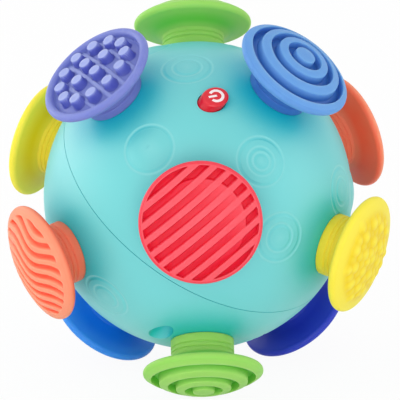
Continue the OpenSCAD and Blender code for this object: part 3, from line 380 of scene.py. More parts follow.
# Each relief: angle from the shell's axis, turn about it, kind
RELIEFS = [
    (58.3, -108, 0), (58.3, -36, 1), (58.3, 36, 0), (58.3, 108, 1), (58.3, 180, 0),
    (34, -58.9, 2), (35, -152.1, 1), (45.5, 10.9, 1), (33, 80, 2), (33, 136, 1),
    (118.2, -82.9, 1), (118.2, -10.9, 1), (118.2, 61.1, 1),
    (150, -36, 2), (150, 36, 2), (150, 252, 2),
]


def relief_middle(polar, turn):
    """The point of the shell at that angle from its axis and that turn about it."""
    return tuple(SHELL_R * (SHELL_AXES @ site_axes(polar, turn))[:, 2])


print("reliefs:", len(RELIEFS))


# %% Painted light and shade of the reliefs
# PLAIN is the teal's own grey; HOLLOW is painted shade; EDGE and MIDDLE are painted highlight
PLAIN, HOLLOW, EDGE, MIDDLE = 0.5, 0.25, 0.75, 0.62

# Across a ring: steps from its radius in millimetres, each with the grey that is reached there
RING_STEPS = [(-1.4, PLAIN), (-0.3, HOLLOW), (0.6, EDGE), (1.5, PLAIN)]


def ring_stops(rings):
    """Greys over the distance: painted shade in each ring, painted highlight just outside it and at
    the middle.
    """
    stops = [(0, MIDDLE), (rings[0] / 2, PLAIN)]
    stops += [(ring + away, grey) for ring in rings for away, grey in RING_STEPS]
    return [(place / RELIEF_REACH, (grey, grey, grey, 1)) for place, grey in stops]


def relief_tone(finish):
    """Painted light: above zero on paler edges, below it on shaded hollows, from the nearest relief
    of each kind.
    """
    place = finish.place()
    measure = {"operation": "DISTANCE"}
    total = 0
    for kind, rings in RELIEF_RINGS.items():
        near = RELIEF_REACH
        for polar, turn, other in RELIEFS:
            if other == kind:
                sockets = {0: place, 1: relief_middle(polar, turn)}
                away = finish.node("ShaderNodeVectorMath", measure, sockets, "Value")
                near = away.math("MINIMUM", away * (1 / MM), near)
        share = near * (1 / RELIEF_REACH)
        ramp = finish.node("ShaderNodeValToRGB", {"stops": ring_stops(rings)}, {0: share})
        total = total + (ramp - PLAIN)
    return total


print("stops across three rings:", len(ring_stops(RELIEF_RINGS[2])))

# %% Shell finish
# Painted shade near the knobs: how far ambient occlusion looks and how it turns into deeper teal
SHADE_REACH = 26 * MM
SHADE_RAYS = 8
SHADE_GAIN = 2.4
SHADE_FROM = 1.1
SHADE_MOST = 0.95
SHELL_GRAIN = 0.012 * MM


def shell_plastic(name, deep, pale, gleam):
    """Teal plastic, painted deeper where the knobs shade it and paler on the relief edges: painted
    shade and highlight.
    """
    finish = new_finish(name)
    fine = finish.noise(SKIN, FINE_DETAIL)
    rubbed = finish.noise(RUB)
    slow = finish.noise(CLOUD)
    # Painted highlight and shade of the reliefs
    tone = relief_tone(finish)
    # Painted shade: where ambient occlusion finds the knobs close, the teal is mixed towards the
    # deep colour
    around = {"Distance": SHADE_REACH}
    open_sky = finish.node("ShaderNodeAmbientOcclusion", {"samples": SHADE_RAYS}, around, "AO")
    clear = open_sky.math("MINIMUM", open_sky * SHADE_GAIN - SHADE_FROM, SHADE_MOST)
    body = finish.mix(clear + 0.1 * slow + 0.6 * tone, deep, pale)
    shader = finish.node("ShaderNodeBsdfPrincipled", {}, {
        "Base Color": finish.mix(0.55 * tone, body, gleam),
        "Roughness": 0.36 + 0.12 * rubbed,
        "Normal": finish.bump(fine, SHELL_GRAIN),
        "IOR": 1.66,
    })
    return finish.surface(shader)


# Deep teal for painted shade, the plain teal, and a pale one for painted highlights on the reliefs
finishes["shell_teal"] = shell_plastic(
    "shell_teal", linear(0, 196, 206), linear(104, 206, 207), linear(196, 238, 238),
)
print("shell finish:", len(finishes["shell_teal"].node_tree.nodes), "nodes")

# %% Other moulded finishes
finishes["button_red"] = moulded("button_red", linear(220, 14, 40), 0.3, 0.01 * MM, 0.05, 0.1)
finishes["plain_plastic"] = moulded("plain_plastic", linear(232, 230, 222), 0.5, 0.03 * MM, 0.03)
finishes["gear_plastic"] = moulded("gear_plastic", linear(240, 236, 224), 0.42, 0.02 * MM, 0.03)
finishes["switch_black"] = moulded("switch_black", linear(46, 50, 56), 0.5, 0.03 * MM)
finishes["board_green"] = moulded("board_green", linear(56, 130, 78), 0.35, 0.02 * MM, 0.12)
finishes["cell_jacket"] = moulded("cell_jacket", linear(58, 64, 72), 0.3, 0.01 * MM, 0.05)
print("moulded finishes:", len(finishes))

# %% [markdown]
# ## Metals
# Screws, shafts and contacts are bare metal inside the ball. Fine stretched noise gives them the
# lines of a turned or rolled surface.

# %% Metal finishes
LINE_STRETCH = (300, 300, 4000)
LINE_DEPTH = 0.01 * MM
TARNISH = 4 * MM


def metal(name, colour, rough):
    """Bare metal: fine drawn lines in roughness and normal, and a faint tarnish."""
    finish = new_finish(name)
    along = {"Vector": finish.place(), "Scale": LINE_STRETCH}
    stretched = finish.node("ShaderNodeMapping", {}, along)
    drawn = {"Vector": stretched, "Scale": 1.0, "Detail": FINE_DETAIL}
    lines = finish.node("ShaderNodeTexNoise", {}, drawn)
    tarnish = finish.noise(TARNISH)
    shader = finish.node("ShaderNodeBsdfPrincipled", {}, {
        "Base Color": finish.mix(tarnish, shade(colour, 0.88), shade(colour, 1.06)),
        "Metallic": 1.0,
        "Roughness": rough + 0.12 * lines,
        "Normal": finish.bump(lines, LINE_DEPTH),
    })
    return finish.surface(shader)


finishes["screw_steel"] = metal("screw_steel", linear(200, 203, 207), 0.25)
finishes["black_steel"] = metal("black_steel", linear(60, 62, 66), 0.4)
finishes["shaft_steel"] = metal("shaft_steel", linear(190, 193, 196), 0.2)
finishes["weight_steel"] = metal("weight_steel", linear(140, 144, 148), 0.45)
finishes["bush_brass"] = metal("bush_brass", linear(205, 165, 85), 0.28)
finishes["contact_metal"] = metal("contact_metal", linear(212, 208, 196), 0.25)
finishes["motor_can"] = metal("motor_can", linear(185, 190, 195), 0.3)

for part in frame["record"]["subparts"]:
    mesh = frame["nodes"][part["node"]].data
    mesh.materials.clear()
    mesh.materials.append(finishes[part["material_slot"]])

# %% [markdown]
# ## Knobs as one surface each
# A knob is a profile turned about its stem: bore, stem, neck, a hollow flare and a round rim. The
# top is a dome that a texture raises or lowers, so the whole knob is one function of two
# parameters: a place along the profile and an angle about the axis. A texture cut from a solid would
# leave sharp edges to round one by one, and a height has them soft from the start.


# %% Knob profile
def arc(cx, cz, radius, start, end, count):
    """Points of a circle about (cx, cz) from one angle to another, in degrees."""
    angle = np.radians(np.linspace(start, end, count))
    return np.stack([cx + radius * np.cos(angle), cz + radius * np.sin(angle)], axis=1)


def line(first, last, count):
    """Points on a straight stretch, without its end."""
    step = np.linspace(0, 1, count, endpoint=False)[:, None]
    return (1 - step) * np.array(first) + step * np.array(last)


def flare_circle():
    """Centre of the circle through the neck's end that touches the round rim from below."""
    reach = np.array([RIM_X - NECK_R, RIM_LIFT - NECK_H])
    span = np.linalg.norm(reach)
    along = (FLARE_R**2 - (FLARE_R + RIM_ROUND) ** 2 + span**2) / (2 * span)
    aside = np.sqrt(FLARE_R**2 - along**2)
    unit = reach / span
    sideways = np.array([unit[1], -unit[0]])
    return np.array([NECK_R, SHELL_R + NECK_H]) + along * unit + aside * sideways


def knob_foot():
    """Profile from the blind bore round the stem and neck to the rim, and the rim's first angle."""
    seat_z = np.sqrt(SHELL_R**2 - NECK_R**2)
    stem_z = np.sqrt((SHELL_R - WALL) ** 2 - BEAD_R**2)
    foot_z = stem_z - BEAD_H
    bore_z = SHELL_R + BORE_UP
    low_cut, high_cut = (SHELL_R + height for height in COLLARS)
    centre = flare_circle()
    start = np.degrees(np.arctan2(SHELL_R + NECK_H - centre[1], NECK_R - centre[0]))
    end = np.degrees(np.arctan2(RIM_Z - centre[1], RIM_X - centre[0]))
    return np.concatenate([
        [[0, bore_z]],
        line((BORE_R / 2, bore_z), (BORE_R, bore_z), 3),
        line((BORE_R, bore_z), (BORE_R, foot_z), 6),
        line((BORE_R, foot_z), (BEAD_R, foot_z), 4),
        line((BEAD_R, foot_z), (BEAD_R, stem_z - SEAT), 4),
        line((BEAD_R, stem_z - SEAT), (STEM_R, stem_z + BEAD_SLOPE), 3),
        line((STEM_R, stem_z + BEAD_SLOPE), (STEM_R, seat_z + FOOT_HOLLOW), 4),
        line((STEM_R, seat_z + FOOT_HOLLOW), (NECK_R - FOOT_EDGE, seat_z + SEAT), 4),
        line((NECK_R, seat_z + FOOT_EDGE), (NECK_R, low_cut - COLLAR_CUT), 6),
        arc(NECK_R, low_cut, COLLAR_CUT, 270, 90, 9),
        line((NECK_R, low_cut + PAST_CUT), (NECK_R, high_cut - COLLAR_CUT), 4),
        arc(NECK_R, high_cut, COLLAR_CUT, 270, 90, 9),
        line((NECK_R, high_cut + PAST_CUT), (NECK_R, SHELL_R + NECK_H), 4),
        arc(*centre, FLARE_R, start, end, 24),
    ]), end - 180


FOOT, RIM_START = knob_foot()
print("points below the rim:", len(FOOT))

# %% [markdown]
# ## Textures on the domes
# Every texture gives a height over the dome and the crest number, as functions of the place on it:
# high on crests, a painted highlight, and low in hollows, a painted shade.
# Steps are softened over about half a millimetre, as a mould's edges are.

# %% Softened shapes
SOFT = 0.55 * MM


def step(distance, width=SOFT):
    """0 below zero, 1 above, with a smooth S across the given width."""
    t = np.clip(distance / width + 0.5, 0, 1)
    return t * t * (3 - 2 * t)


def dome(rise):
    """Radius and centre height of a dome that touches the round rim and tops it by rise."""
    radius = (rise**2 + RIM_X**2 - RIM_ROUND**2) / (2 * (rise - RIM_ROUND))
    return radius, RIM_Z + rise - radius


def dome_height(rise, r):
    """Height of that dome at distance r from the axis."""
    radius, centre = dome(rise)
    return centre + np.sqrt(radius**2 - r**2)


print("edges softened over", SOFT, "metres")

# %% [markdown]
# ### Rings
# The green and the blue knobs carry round ridges about a post. Each groove lies between two radii,
# so the distance from the axis alone says where it is.

# %% Rings
POST_R = 5 * MM
RING_PITCH = 7.5 * MM
RING_GAP = 3.4 * MM
RING_DEPTH = 4 * MM
RING_RISE = 9.8 * MM
RING_COUNT = 3


def rings(x, y):
    """A dome with round grooves: the depth drops between each groove's two edges."""
    r = np.hypot(x, y)
    groove = sum(
        step(r - inner) * step(inner + RING_GAP - r)
        for inner in POST_R + np.arange(RING_COUNT) * RING_PITCH
    )
    # Second value: 0 in the grooves, a painted shade, and 1 elsewhere
    return dome_height(RING_RISE, r) - RING_DEPTH * groove, 1 - groove


print("ring grooves:", RING_COUNT)

# %% [markdown]
# ### Ridges
# The red knobs carry straight ridges. The valleys between them are shallow at one end and deep at
# the other, so their floor is a second dome, shifted to one side and a little lower.

# %% Ridges
RIDGE_RISE = 8 * MM
RIDGE_PITCH = 6 * MM
RIDGE_W = 3 * MM
RIDGE_DEPTH = 2.6 * MM
RIDGE_FIELD = RIM_X + 0.2 * MM
FLOOR_R = 19.7 * MM
FLOOR_SHIFT = 3.8 * MM
FLOOR_DROP = 1.65 * MM
FLOOR_BLUR = 9 * MM
BLUR_FROM = 2 * MM
BLUR_WIDTH = 16 * MM
# How fast the painted shade deepens as a valley floor sinks below the top
VALLEY_FADE = 1.8


def ridges(x, y):
    """Straight valleys along x; in a circle, a shifted dome makes their floor climb to one end."""
    r = np.hypot(x, y)
    top = dome_height(RIDGE_RISE, r)
    radius, centre = dome(RIDGE_RISE)
    from_ridge = np.abs((y / RIDGE_PITCH) % 1 - 0.5) * RIDGE_PITCH
    valley = step(from_ridge - RIDGE_W / 2) * step(RIDGE_FIELD - r)
    shifted = np.maximum(radius**2 - (x - FLOOR_SHIFT) ** 2 - y**2, 0)
    ramp = centre - FLOOR_DROP + np.sqrt(shifted)
    low = centre + np.sqrt((radius - RIDGE_DEPTH) ** 2 - r**2)
    blur = SOFT + FLOOR_BLUR * step(-x - BLUR_FROM, BLUR_WIDTH)
    floor = low + (np.clip(ramp, low, top) - low) * step(FLOOR_R - r, blur)
    height = top + (floor - top) * valley
    return height, 1 - np.clip((top - height) / RIDGE_DEPTH * VALLEY_FADE, 0, 1)


print("ridges every", RIDGE_PITCH, "metres")

# %% [markdown]
# ### Waves
# The orange knobs carry wavy grooves. A row of cosine lines, one pitch apart, gives them, and the
# distance to the nearest line gives the depth.

# %% Waves
WAVE_RISE = 8 * MM
WAVE_PITCH = 5.2 * MM
WAVE_W = 2.3 * MM
WAVE_DEPTH = 2 * MM
WAVE_AMP = 1.8 * MM
WAVE_LEN = 29 * MM
WAVE_START = 4 * MM
WAVE_FIELD = KNOB_R - 3.6 * MM
WAVE_SOFT = 0.9 * MM


def waves(x, y):
    """Wavy grooves: the distance from a row of cosine lines sets a rounded depth."""
    r = np.hypot(x, y)
    across = (x - WAVE_AMP * np.cos(2 * np.pi * (y - WAVE_START) / WAVE_LEN)) / WAVE_PITCH
    from_line = np.abs(across % 1 - 0.5) * WAVE_PITCH
    groove = step(WAVE_W / 2 - from_line, WAVE_SOFT) * step(WAVE_FIELD - r, WAVE_SOFT)
    # Second value: 0 in the grooves, a painted shade, and 1 elsewhere
    return dome_height(WAVE_RISE, r) - WAVE_DEPTH * groove, 1 - groove


print("waves every", WAVE_PITCH, "metres")

# %% [markdown]
# ### Pegs
# The purple knobs carry sixteen round pegs inside a lip, on a floor with low ribs. Each peg could be
# a piece of its own, but as part of the height it meets the floor softly, as moulded rubber does.

# %% Pegs
PEG_FLOOR = 2 * MM
PEG_DROP = 3.4 * MM
PEG_R = 3 * MM
PEG_H = 4.2 * MM
PEG_SIDE = 8.2 * MM
PEG_NEAR = 5 * MM
PEG_OVAL = (17.4 * MM, 15.8 * MM)
PEG_COLUMN = 8.25 * MM
PEG_RIB = 2 * MM
PEG_RIB_H = 0.7 * MM
PEG_RIB_SOFT = 0.7 * MM
# Painted light of the floor and the ribs; peg tops get full painted highlight and their sides
# painted shade
PEG_FLOOR_CREST = 0.45
PEG_RIB_CREST = 0.3
LIP_X = KNOB_R - 2 * RIM_ROUND
PEG_BALL = (LIP_X**2 + PEG_DROP**2) / (2 * PEG_DROP)


def peg_places():
    """Four pegs around the middle and twelve on an oval around them."""
    angle = np.radians(np.arange(12) * 30)
    oval = np.stack([PEG_OVAL[0] * np.cos(angle), PEG_OVAL[1] * np.sin(angle)], axis=1)
    return np.concatenate([[(PEG_SIDE, 0), (-PEG_SIDE, 0), (0, PEG_NEAR), (0, -PEG_NEAR)], oval])


PEGS = peg_places()


def peg_floor(r):
    """The domed floor inside the lip."""
    return RIM_Z + PEG_FLOOR - PEG_BALL + np.sqrt(PEG_BALL**2 - r**2)


def pegs(x, y):
    """A domed floor with low ribs, and round pegs that each reach a fixed height over it."""
    r = np.hypot(x, y)
    floor = peg_floor(np.minimum(r, LIP_X))
    from_rib = np.abs((x / PEG_COLUMN) % 1 - 0.5) * PEG_COLUMN
    rib = step(PEG_RIB / 2 - from_rib, PEG_RIB_SOFT) * step(2 * PEG_COLUMN - np.abs(x))
    height = floor + PEG_RIB_H * rib
    crest = PEG_FLOOR_CREST + PEG_RIB_CREST * rib
    for px, py in PEGS:
        inside = PEG_R - np.hypot(x - px, y - py)
        near = step(inside)
        height = height + near * (peg_floor(np.hypot(px, py)) + PEG_H - height)
        crest = crest * (1 - step(inside + SOFT)) + step(inside - SOFT / 2)
    return height, crest


print("pegs:", len(PEGS))

# %% [markdown]
# ### Nubs
# The yellow knobs are lumpy: bumps in a regular pattern, with pebbles astray between them. Their sum
# would swell where two of them meet, so a high power blends them and the higher one wins.

# %% Nubs
NUB_RISE = 6.2 * MM
NUB_R = 4 * MM
NUB_H = 1.3 * MM
NUB_PITCH = 8.4 * MM
NUB_FIELD = RIM_X - 5.5 * MM
NUB_ROWS = np.arange(-4, 5)
PEBBLE_R = 3.4 * MM
PEBBLE_H = (0.3 * MM, 1.3 * MM)
PEBBLE_STRAY = 0.8 * MM
PEBBLE_SEED = 7
NUB_FALL = 1.5
NUB_BLEND = 4
BAND_FROM = 1 * MM
BAND_WIDTH = 5 * MM
# Painted light: nub tops painted paler as highlight, the ground between them deeper as shade, a pale
# band by the rim
NUB_CREST = 1.3
NUB_CREST_FROM = 0.25


def nub_places(shift):
    """A triangular pattern of points inside a circle, shifted by shares of its two steps."""
    i, j = np.meshgrid(NUB_ROWS + shift, NUB_ROWS + shift)
    points = np.stack([NUB_PITCH * (i + j / 2), NUB_PITCH * j * np.sqrt(3) / 2], axis=-1)
    points = points.reshape(-1, 2)
    return points[np.hypot(*points.T) < NUB_FIELD]


def pebbles():
    """Points between the nubs, each a little astray, and how high each one stands."""
    chance = np.random.default_rng(PEBBLE_SEED)
    points = np.concatenate([nub_places(1 / 3), nub_places(2 / 3)])
    points = points + chance.uniform(-PEBBLE_STRAY, PEBBLE_STRAY, points.shape)
    return zip(points, chance.uniform(*PEBBLE_H, len(points)))


NUBS = [(point, NUB_H, NUB_R) for point in nub_places(0)]
NUBS += [(point, rise, PEBBLE_R) for point, rise in pebbles()]


def nubs(x, y):
    """A dome plus bumps that fall off with the distance squared; softly, the highest one wins."""
    r = np.hypot(x, y)
    powers = 0
    for (px, py), rise, reach in NUBS:
        inside = np.maximum(1 - ((x - px) ** 2 + (y - py) ** 2) / reach**2, 0)
        powers = powers + (rise * inside**NUB_FALL) ** NUB_BLEND
    bumps = powers ** (1 / NUB_BLEND)
    band = step(r - NUB_FIELD - BAND_FROM, BAND_WIDTH)
    crest = np.maximum(NUB_CREST * bumps / NUB_H - NUB_CREST_FROM, band)
    return dome_height(NUB_RISE, r) + bumps, crest


RISES = {"rings": RING_RISE, "ridges": RIDGE_RISE, "waves": WAVE_RISE, "nubs": NUB_RISE}
TEXTURES = {"rings": rings, "ridges": ridges, "waves": waves, "pegs": pegs, "nubs": nubs}
print("textures:", ", ".join(TEXTURES))

# %% [markdown]
# ## Surfaces into meshes
# A grid of points becomes a mesh of four-sided faces. The first and last rows are poles, where the
# grid closes to a point, so those faces are triangles.


# %% Grid to mesh
def turned_mesh(name, points):
    """A closed mesh from rows of rings; the first and the last row are poles."""
    rows, turns = points.shape[:2]
    body = points[1:-1].reshape(-1, 3)
    verts = np.concatenate([points[:1, 0], body, points[-1:, 0]])
    ring = np.arange(turns)
    after = (ring + 1) % turns
    start = 1 + np.arange(rows - 3)[:, None] * turns
    above = start + turns
    quads = np.stack([start + ring, start + after, above + after, above + ring], axis=-1)
    last = 1 + (rows - 3) * turns
    low_cap = np.stack([np.zeros_like(ring), after + 1, ring + 1], axis=-1)
    high_cap = np.stack([np.full_like(ring, len(verts) - 1), last + ring, last + after], axis=-1)
    faces = quads.reshape(-1, 4).tolist() + low_cap.tolist() + high_cap.tolist()
    mesh = bpy.data.meshes.new(name)
    mesh.from_pydata(verts.tolist(), [], faces)
    mesh.shade_smooth()
    return mesh


def add_painted_light(mesh, crest):
    """Stores a number for each point of a turned mesh, given in its rows and rings."""
    values = np.concatenate([crest[:1, 0], crest[1:-1].reshape(-1), crest[-1:, 0]])
    layer = mesh.attributes.new("crest", "FLOAT", "POINT")
    layer.data.foreach_set("value", values.astype(np.float32))


def show(name, mesh, body, slot, finish=None):
    """Links a mesh as a piece that rides on a body and takes its slot's finish or another one."""
    piece = bpy.data.objects.new(name, mesh)
    bpy.context.scene.collection.objects.link(piece)
    mesh.materials.append(finishes[finish or slot])
    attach(piece, body)
    return piece


print("meshes ready to be made")

# %% [markdown]
# ## The twelve knobs
# Every knob takes its place, its texture and its colour from the table of knobs; the two lowest
# knobs take darker copies of their colours, a painted shade. The crest number also paints
# the neck and the thin edge of the flare paler, a painted highlight, by an amount that each colour
# needs.

# %% Knobs
TURNS = {"rings": 200, "ridges": 300, "waves": 300, "pegs": 300, "nubs": 300}
TOP_ROWS = {"rings": 220, "ridges": 150, "waves": 150, "pegs": 150, "nubs": 150}
# How much paler the rim is painted, a painted highlight, by texture
RIM_CREST = {"rings": 0.85, "ridges": 0.45, "waves": 0.9, "pegs": 0.45, "nubs": 0.9}

# Painted light of the neck and of the outer flare below the rim, by the knob's slot: how much paler
# they are painted, a painted highlight
NECK_CREST = {
    "knob_green": 1, "knob_blue": 0, "knob_red": 0.25,
    "knob_orange": 0.45, "knob_purple": 0.3, "knob_yellow": 0.6,
}
EDGE_CREST = {
    "knob_green": 1.2, "knob_blue": 0.8, "knob_red": 0.3,
    "knob_orange": 0.15, "knob_purple": 0.4, "knob_yellow": 1,
}
NECK_FADE = (NECK_R + 2 * MM, 4 * MM)
EDGE_FADE = (21.5 * MM, 9 * MM)
RIM_ROWS = 22
TOP_START = 0.1 * MM
# The two lowest knobs take the darker copies of their colours, a painted shade
SHADED_COPY = {"knob_purple_base": "shaded_purple_rubber", "knob_blue_base": "shaded_blue_rubber"}


def knob_points(kind, slot):
    """Rows of the profile turned about the axis, with the texture on top, and their painted light.
    """
    if kind == "pegs":
        rim_end = 180
    else:
        radius = dome(RISES[kind])[0]
        rim_end = np.degrees(np.arccos(RIM_X / (radius - RIM_ROUND)))
    rim = arc(RIM_X, RIM_Z, RIM_ROUND, RIM_START, rim_end, RIM_ROWS)
    profile = np.concatenate([FOOT[:-1], rim])
    angle = np.linspace(0, 2 * np.pi, TURNS[kind], endpoint=False)
    ring = np.ones_like(angle)
    low_r, low_z = profile[:, :1] * ring, profile[:, 1:] * ring
    top_r = np.linspace(profile[-1, 0] - TOP_START, 0, TOP_ROWS[kind])[:, None]
    x, y = top_r * np.cos(angle), top_r * np.sin(angle)
    height, crest = TEXTURES[kind](x, y)
    top = np.stack([x, y, height], axis=-1)
    low = np.stack([low_r * np.cos(angle), low_r * np.sin(angle), low_z], axis=-1)
    low_crest = NECK_CREST[slot] * step(NECK_FADE[0] - low_r, NECK_FADE[1])
    low_crest += EDGE_CREST[slot] * step(low_r - EDGE_FADE[0], EDGE_FADE[1])
    over_rim = step(np.linspace(0, 1, RIM_ROWS)[:, None] - 0.5, 0.5)
    low_crest[-RIM_ROWS:] += (RIM_CREST[kind] - low_crest[-RIM_ROWS:]) * over_rim
    return np.concatenate([low, top]), np.concatenate([low_crest, crest])


for name, (polar, azimuth, twist, kind, slot) in KNOBS.items():
    points, crest = knob_points(kind, slot)
    mesh = turned_mesh(name, points @ site_axes(polar, azimuth, twist).T)
    add_painted_light(mesh, crest)
    piece = show(name.replace("knob", "soft_knob"), mesh, "ball", slot, SHADED_COPY.get(name))
    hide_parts(name)
print("soft knobs:", len(KNOBS), "of", len(points), "rows")

# %% [markdown]
# ## The button
# The button slides along the shell's own axis, the way the half shell leaves its mould, so its top
# is cut aslant: it follows the ball a little above the shell. Its edge is rounded for a thumb, by a
# quarter circle that bends the wall into the top.

# %% Button sizes
BUTTON_R = 5.4 * MM
BUTTON_LIFT = 3.2 * MM
BUTTON_POLAR = 29.2
BUTTON_TURN = -114.6
BUTTON_ROUND = 1.1 * MM
GUIDE_H = 8 * MM
FLANGE_GAP = 0.3 * MM
FLANGE_R = 7.1 * MM
FLANGE_H = 1.4 * MM
STEM_GRIP = 1.6 * MM
SWITCH_STEM_R = 1.65 * MM
CAP_TURNS = 120
CAP_WALL_ROWS = 14
CAP_EDGE_ROWS = 12
CAP_TOP_ROWS = 30
BUTTON_OFF = SHELL_R * np.sin(np.radians(BUTTON_POLAR))
FLANGE_TOP = np.sqrt((SHELL_R - WALL) ** 2 - BUTTON_OFF**2) - GUIDE_H - FLANGE_GAP
BUTTON_AXES = SHELL_AXES @ turn_about("Z", BUTTON_TURN)
print("button axis", np.round(BUTTON_AXES[:, 2], 3))


# %% Button cap
def cap_height(x, y):
    """Height of the cap's top along the shell's axis: a ball a little larger than the shell."""
    return np.sqrt((SHELL_R + BUTTON_LIFT) ** 2 - (BUTTON_OFF + x) ** 2 - y**2)


def cap_points():
    """Rows from the stem's bore round the flange, up the wall and over the edge to the middle."""
    bore_top = FLANGE_TOP + STEM_GRIP
    low_z = FLANGE_TOP - FLANGE_H
    foot = np.array([
        (0, bore_top), (SWITCH_STEM_R, bore_top), (SWITCH_STEM_R, low_z), (FLANGE_R, low_z),
        (FLANGE_R, FLANGE_TOP), (BUTTON_R, FLANGE_TOP),
    ])
    angle = np.linspace(0, 2 * np.pi, CAP_TURNS, endpoint=False)
    bend = np.radians(np.linspace(0, 90, CAP_EDGE_ROWS))
    wall = np.linspace(0, 1, CAP_WALL_ROWS)[1:-1]
    edge = BUTTON_R - BUTTON_ROUND * (1 - np.cos(bend))
    inner = np.linspace(BUTTON_R - BUTTON_ROUND, 0, CAP_TOP_ROWS)[1:]
    radius = np.concatenate([foot[:, 0], np.full(len(wall), BUTTON_R), edge, inner])[:, None]
    x, y = radius * np.cos(angle), radius * np.sin(angle)
    top = cap_height(x, y)
    z = top.copy()
    first, last = len(foot), len(foot) + len(wall)
    z[:first] = foot[:, 1:]
    z[first:last] = FLANGE_TOP + wall[:, None] * (top[first:last] - BUTTON_ROUND - FLANGE_TOP)
    z[last:last + len(bend)] -= BUTTON_ROUND * (1 - np.sin(bend))[:, None]
    return np.stack([x + BUTTON_OFF, y, z], axis=-1)


cap_mesh = turned_mesh("button_cap", cap_points() @ BUTTON_AXES.T)
cap = show("button_cap", cap_mesh, "button", "button_red")
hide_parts("power_button")
print("button cap:", len(cap.data.vertices), "points")

# %% [markdown]
# ## The power sign
# The sign is a raised print of two strokes, an open ring and a bar. A picture could show it, but a
# flat band along a path stays sharp at any distance, and it follows the round top of the button.

# %% Power sign
SIGN_TURN = -9.8
SIGN_R = 2.9 * MM
SIGN_STROKE = 1.3 * MM
SIGN_RISE = 0.06 * MM
SIGN_GAP = 76
RING_POINTS = 72
BAR_POINTS = 12
BAR_FROM = -0.1 * SIGN_R
BAR_TO = 1.22 * SIGN_R
BAR_STROKE = 0.85 * SIGN_STROKE

# Across a stroke: places in half widths, each with its height in rises
STROKE_ACROSS = np.array([-1, -1, -0.94, -0.5, 0, 0.5, 0.94, 1, 1])
STROKE_LIFT = np.array([-1, 0.6, 1, 1, 1, 1, 1, 0.6, -1])


def sign_axes():
    """The sign's middle on the cap, the direction along its bar and the one to its side."""
    middle = BUTTON_AXES @ np.array([BUTTON_OFF, 0, cap_height(0, 0)])
    out = middle / np.linalg.norm(middle)
    ahead = BUTTON_AXES[:, 0] - (BUTTON_AXES[:, 0] @ out) * out
    ahead /= np.linalg.norm(ahead)
    side = np.cross(out, ahead)
    cosine, sine = np.cos(np.radians(SIGN_TURN)), np.sin(np.radians(SIGN_TURN))
    return middle, cosine * ahead + sine * side, cosine * side - sine * ahead


def stroke_points(path, width):
    """A flat band along a path in the sign's plane, laid on the cap's ball and raised a little."""
    middle, ahead, side = sign_axes()
    along = np.gradient(path, axis=0)
    across = np.stack([-along[:, 1], along[:, 0]], axis=1)
    across = across / np.linalg.norm(along, axis=1)[:, None]
    offset = STROKE_ACROSS * width / 2
    lift = STROKE_LIFT * SIGN_RISE
    flat = path[:, None] + offset[None, :, None] * across[:, None]
    ends = np.repeat(path[[0, -1]][:, None], len(offset), axis=1)
    flat = np.concatenate([ends[:1], flat, ends[1:]])
    space = middle + flat[..., :1] * ahead + flat[..., 1:] * side
    rise = np.stack([lift * 0, *[lift] * len(path), lift * 0])
    reach = SHELL_R + BUTTON_LIFT + rise
    return space / np.linalg.norm(space, axis=-1, keepdims=True) * reach[..., None]


finishes["sign_white"] = moulded("sign_white", linear(250, 236, 236), 0.45, 0.008 * MM, 0.02)
open_ring = np.radians(np.linspace(SIGN_GAP / 2, 360 - SIGN_GAP / 2, RING_POINTS))
ring_path = SIGN_R * np.stack([np.cos(open_ring), np.sin(open_ring)], axis=1)
bar_path = np.linspace((BAR_FROM, 0), (BAR_TO, 0), BAR_POINTS)
strokes = (("sign_ring", ring_path, SIGN_STROKE), ("sign_bar", bar_path, BAR_STROKE))
for name, path, width in strokes:
    mesh = turned_mesh(name, stroke_points(path, width)[:, ::-1])
    show(name, mesh, "button", "button_red", "sign_white")
print("sign strokes: ring and bar")

# %% [markdown]
# ## Floor and light
# The picture is on plain white. A pale floor carries the ball and a faint shadow. The floor and the
# world look white to the camera and in reflections, without lighting the ball any more. Five big
# soft lamps, the strongest in front, give the rubber its gentle gradients.


# %% Rays that show the background
def background_rays(finish):
    """1 on rays that show the background: from the camera, off a gloss or through a clear thing."""
    kinds = ("Is Camera Ray", "Is Glossy Ray", "Is Transmission Ray")
    direct, mirrored, through = (finish.node("ShaderNodeLightPath", {}, {}, kind) for kind in kinds)
    return direct + mirrored + through


WHITE = (1, 1, 1, 1)
print("background rays ready")

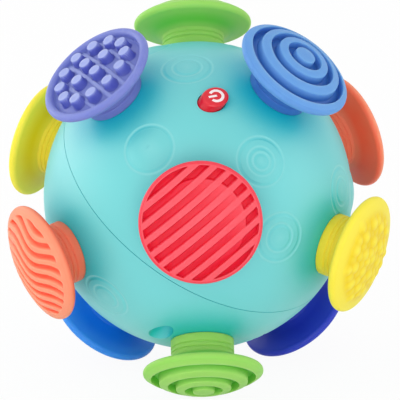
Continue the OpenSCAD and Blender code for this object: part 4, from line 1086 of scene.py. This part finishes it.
# %% Floor
FLOOR_Z = cad_box[0][2]
FLOOR_HALF = 6.0
PAPER = (0.94, 0.94, 0.94, 1)
PAPER_GLOW = 0.94
corners = [(-1, -1), (1, -1), (1, 1), (-1, 1)]
floor_mesh = bpy.data.meshes.new("floor")
floor_mesh.from_pydata(
    [(FLOOR_HALF * x, FLOOR_HALF * y, FLOOR_Z) for x, y in corners], [], [(0, 1, 2, 3)],
)
floor = bpy.data.objects.new("floor", floor_mesh)
bpy.context.scene.collection.objects.link(floor)
paper = new_finish("white_paper")
matte = paper.node("ShaderNodeBsdfDiffuse", {}, {"Color": PAPER})
glow = paper.node("ShaderNodeEmission", {}, {"Color": WHITE, "Strength": 1.0})
seen = PAPER_GLOW * background_rays(paper)
floor_mesh.materials.append(paper.surface(
    paper.node("ShaderNodeMixShader", {}, {0: seen, 1: matte, 2: glow})
))
print("floor at", round(FLOOR_Z, 4))

# %% World
FILL = 0.8
room = Finish(bpy.data.worlds.new("white_room"), "ShaderNodeOutputWorld")
fill = room.node("ShaderNodeBackground", {}, {"Color": WHITE, "Strength": FILL})
white = room.node("ShaderNodeBackground", {}, {"Color": WHITE, "Strength": 1.0})
bpy.context.scene.world = room.surface(
    room.node("ShaderNodeMixShader", {}, {0: background_rays(room), 1: fill, 2: white})
)
print("world: white to the camera and in reflections")


# %% Lamps
def soft_lamp(name, place, watts, width):
    """A square lamp that faces the ball."""
    data = bpy.data.lights.new(name, "AREA")
    data.energy = watts
    data.size = width
    lamp = bpy.data.objects.new(name, data)
    lamp.location = place
    lamp.rotation_euler = Vector(place).to_track_quat("Z", "Y").to_euler()
    bpy.context.scene.collection.objects.link(lamp)


# Each lamp: place in metres, watts, width
LAMPS = {
    "key_lamp": ((-0.7, -0.9, 1.3), 2, 0.9),
    "front_lamp": ((-0.1, -1.7, 0.15), 10, 1.0),
    "left_lamp": ((-1.6, 0.1, 0.1), 5, 1.2),
    "rim_lamp": ((-1.3, 0.9, 0.25), 7, 1.2),
    "side_lamp": ((1.5, -0.2, 0.2), 3, 1.0),
}
for name, lamp in LAMPS.items():
    soft_lamp(name, *lamp)
bpy.context.scene.view_settings.view_transform = "Standard"
print("lamps:", ", ".join(LAMPS))
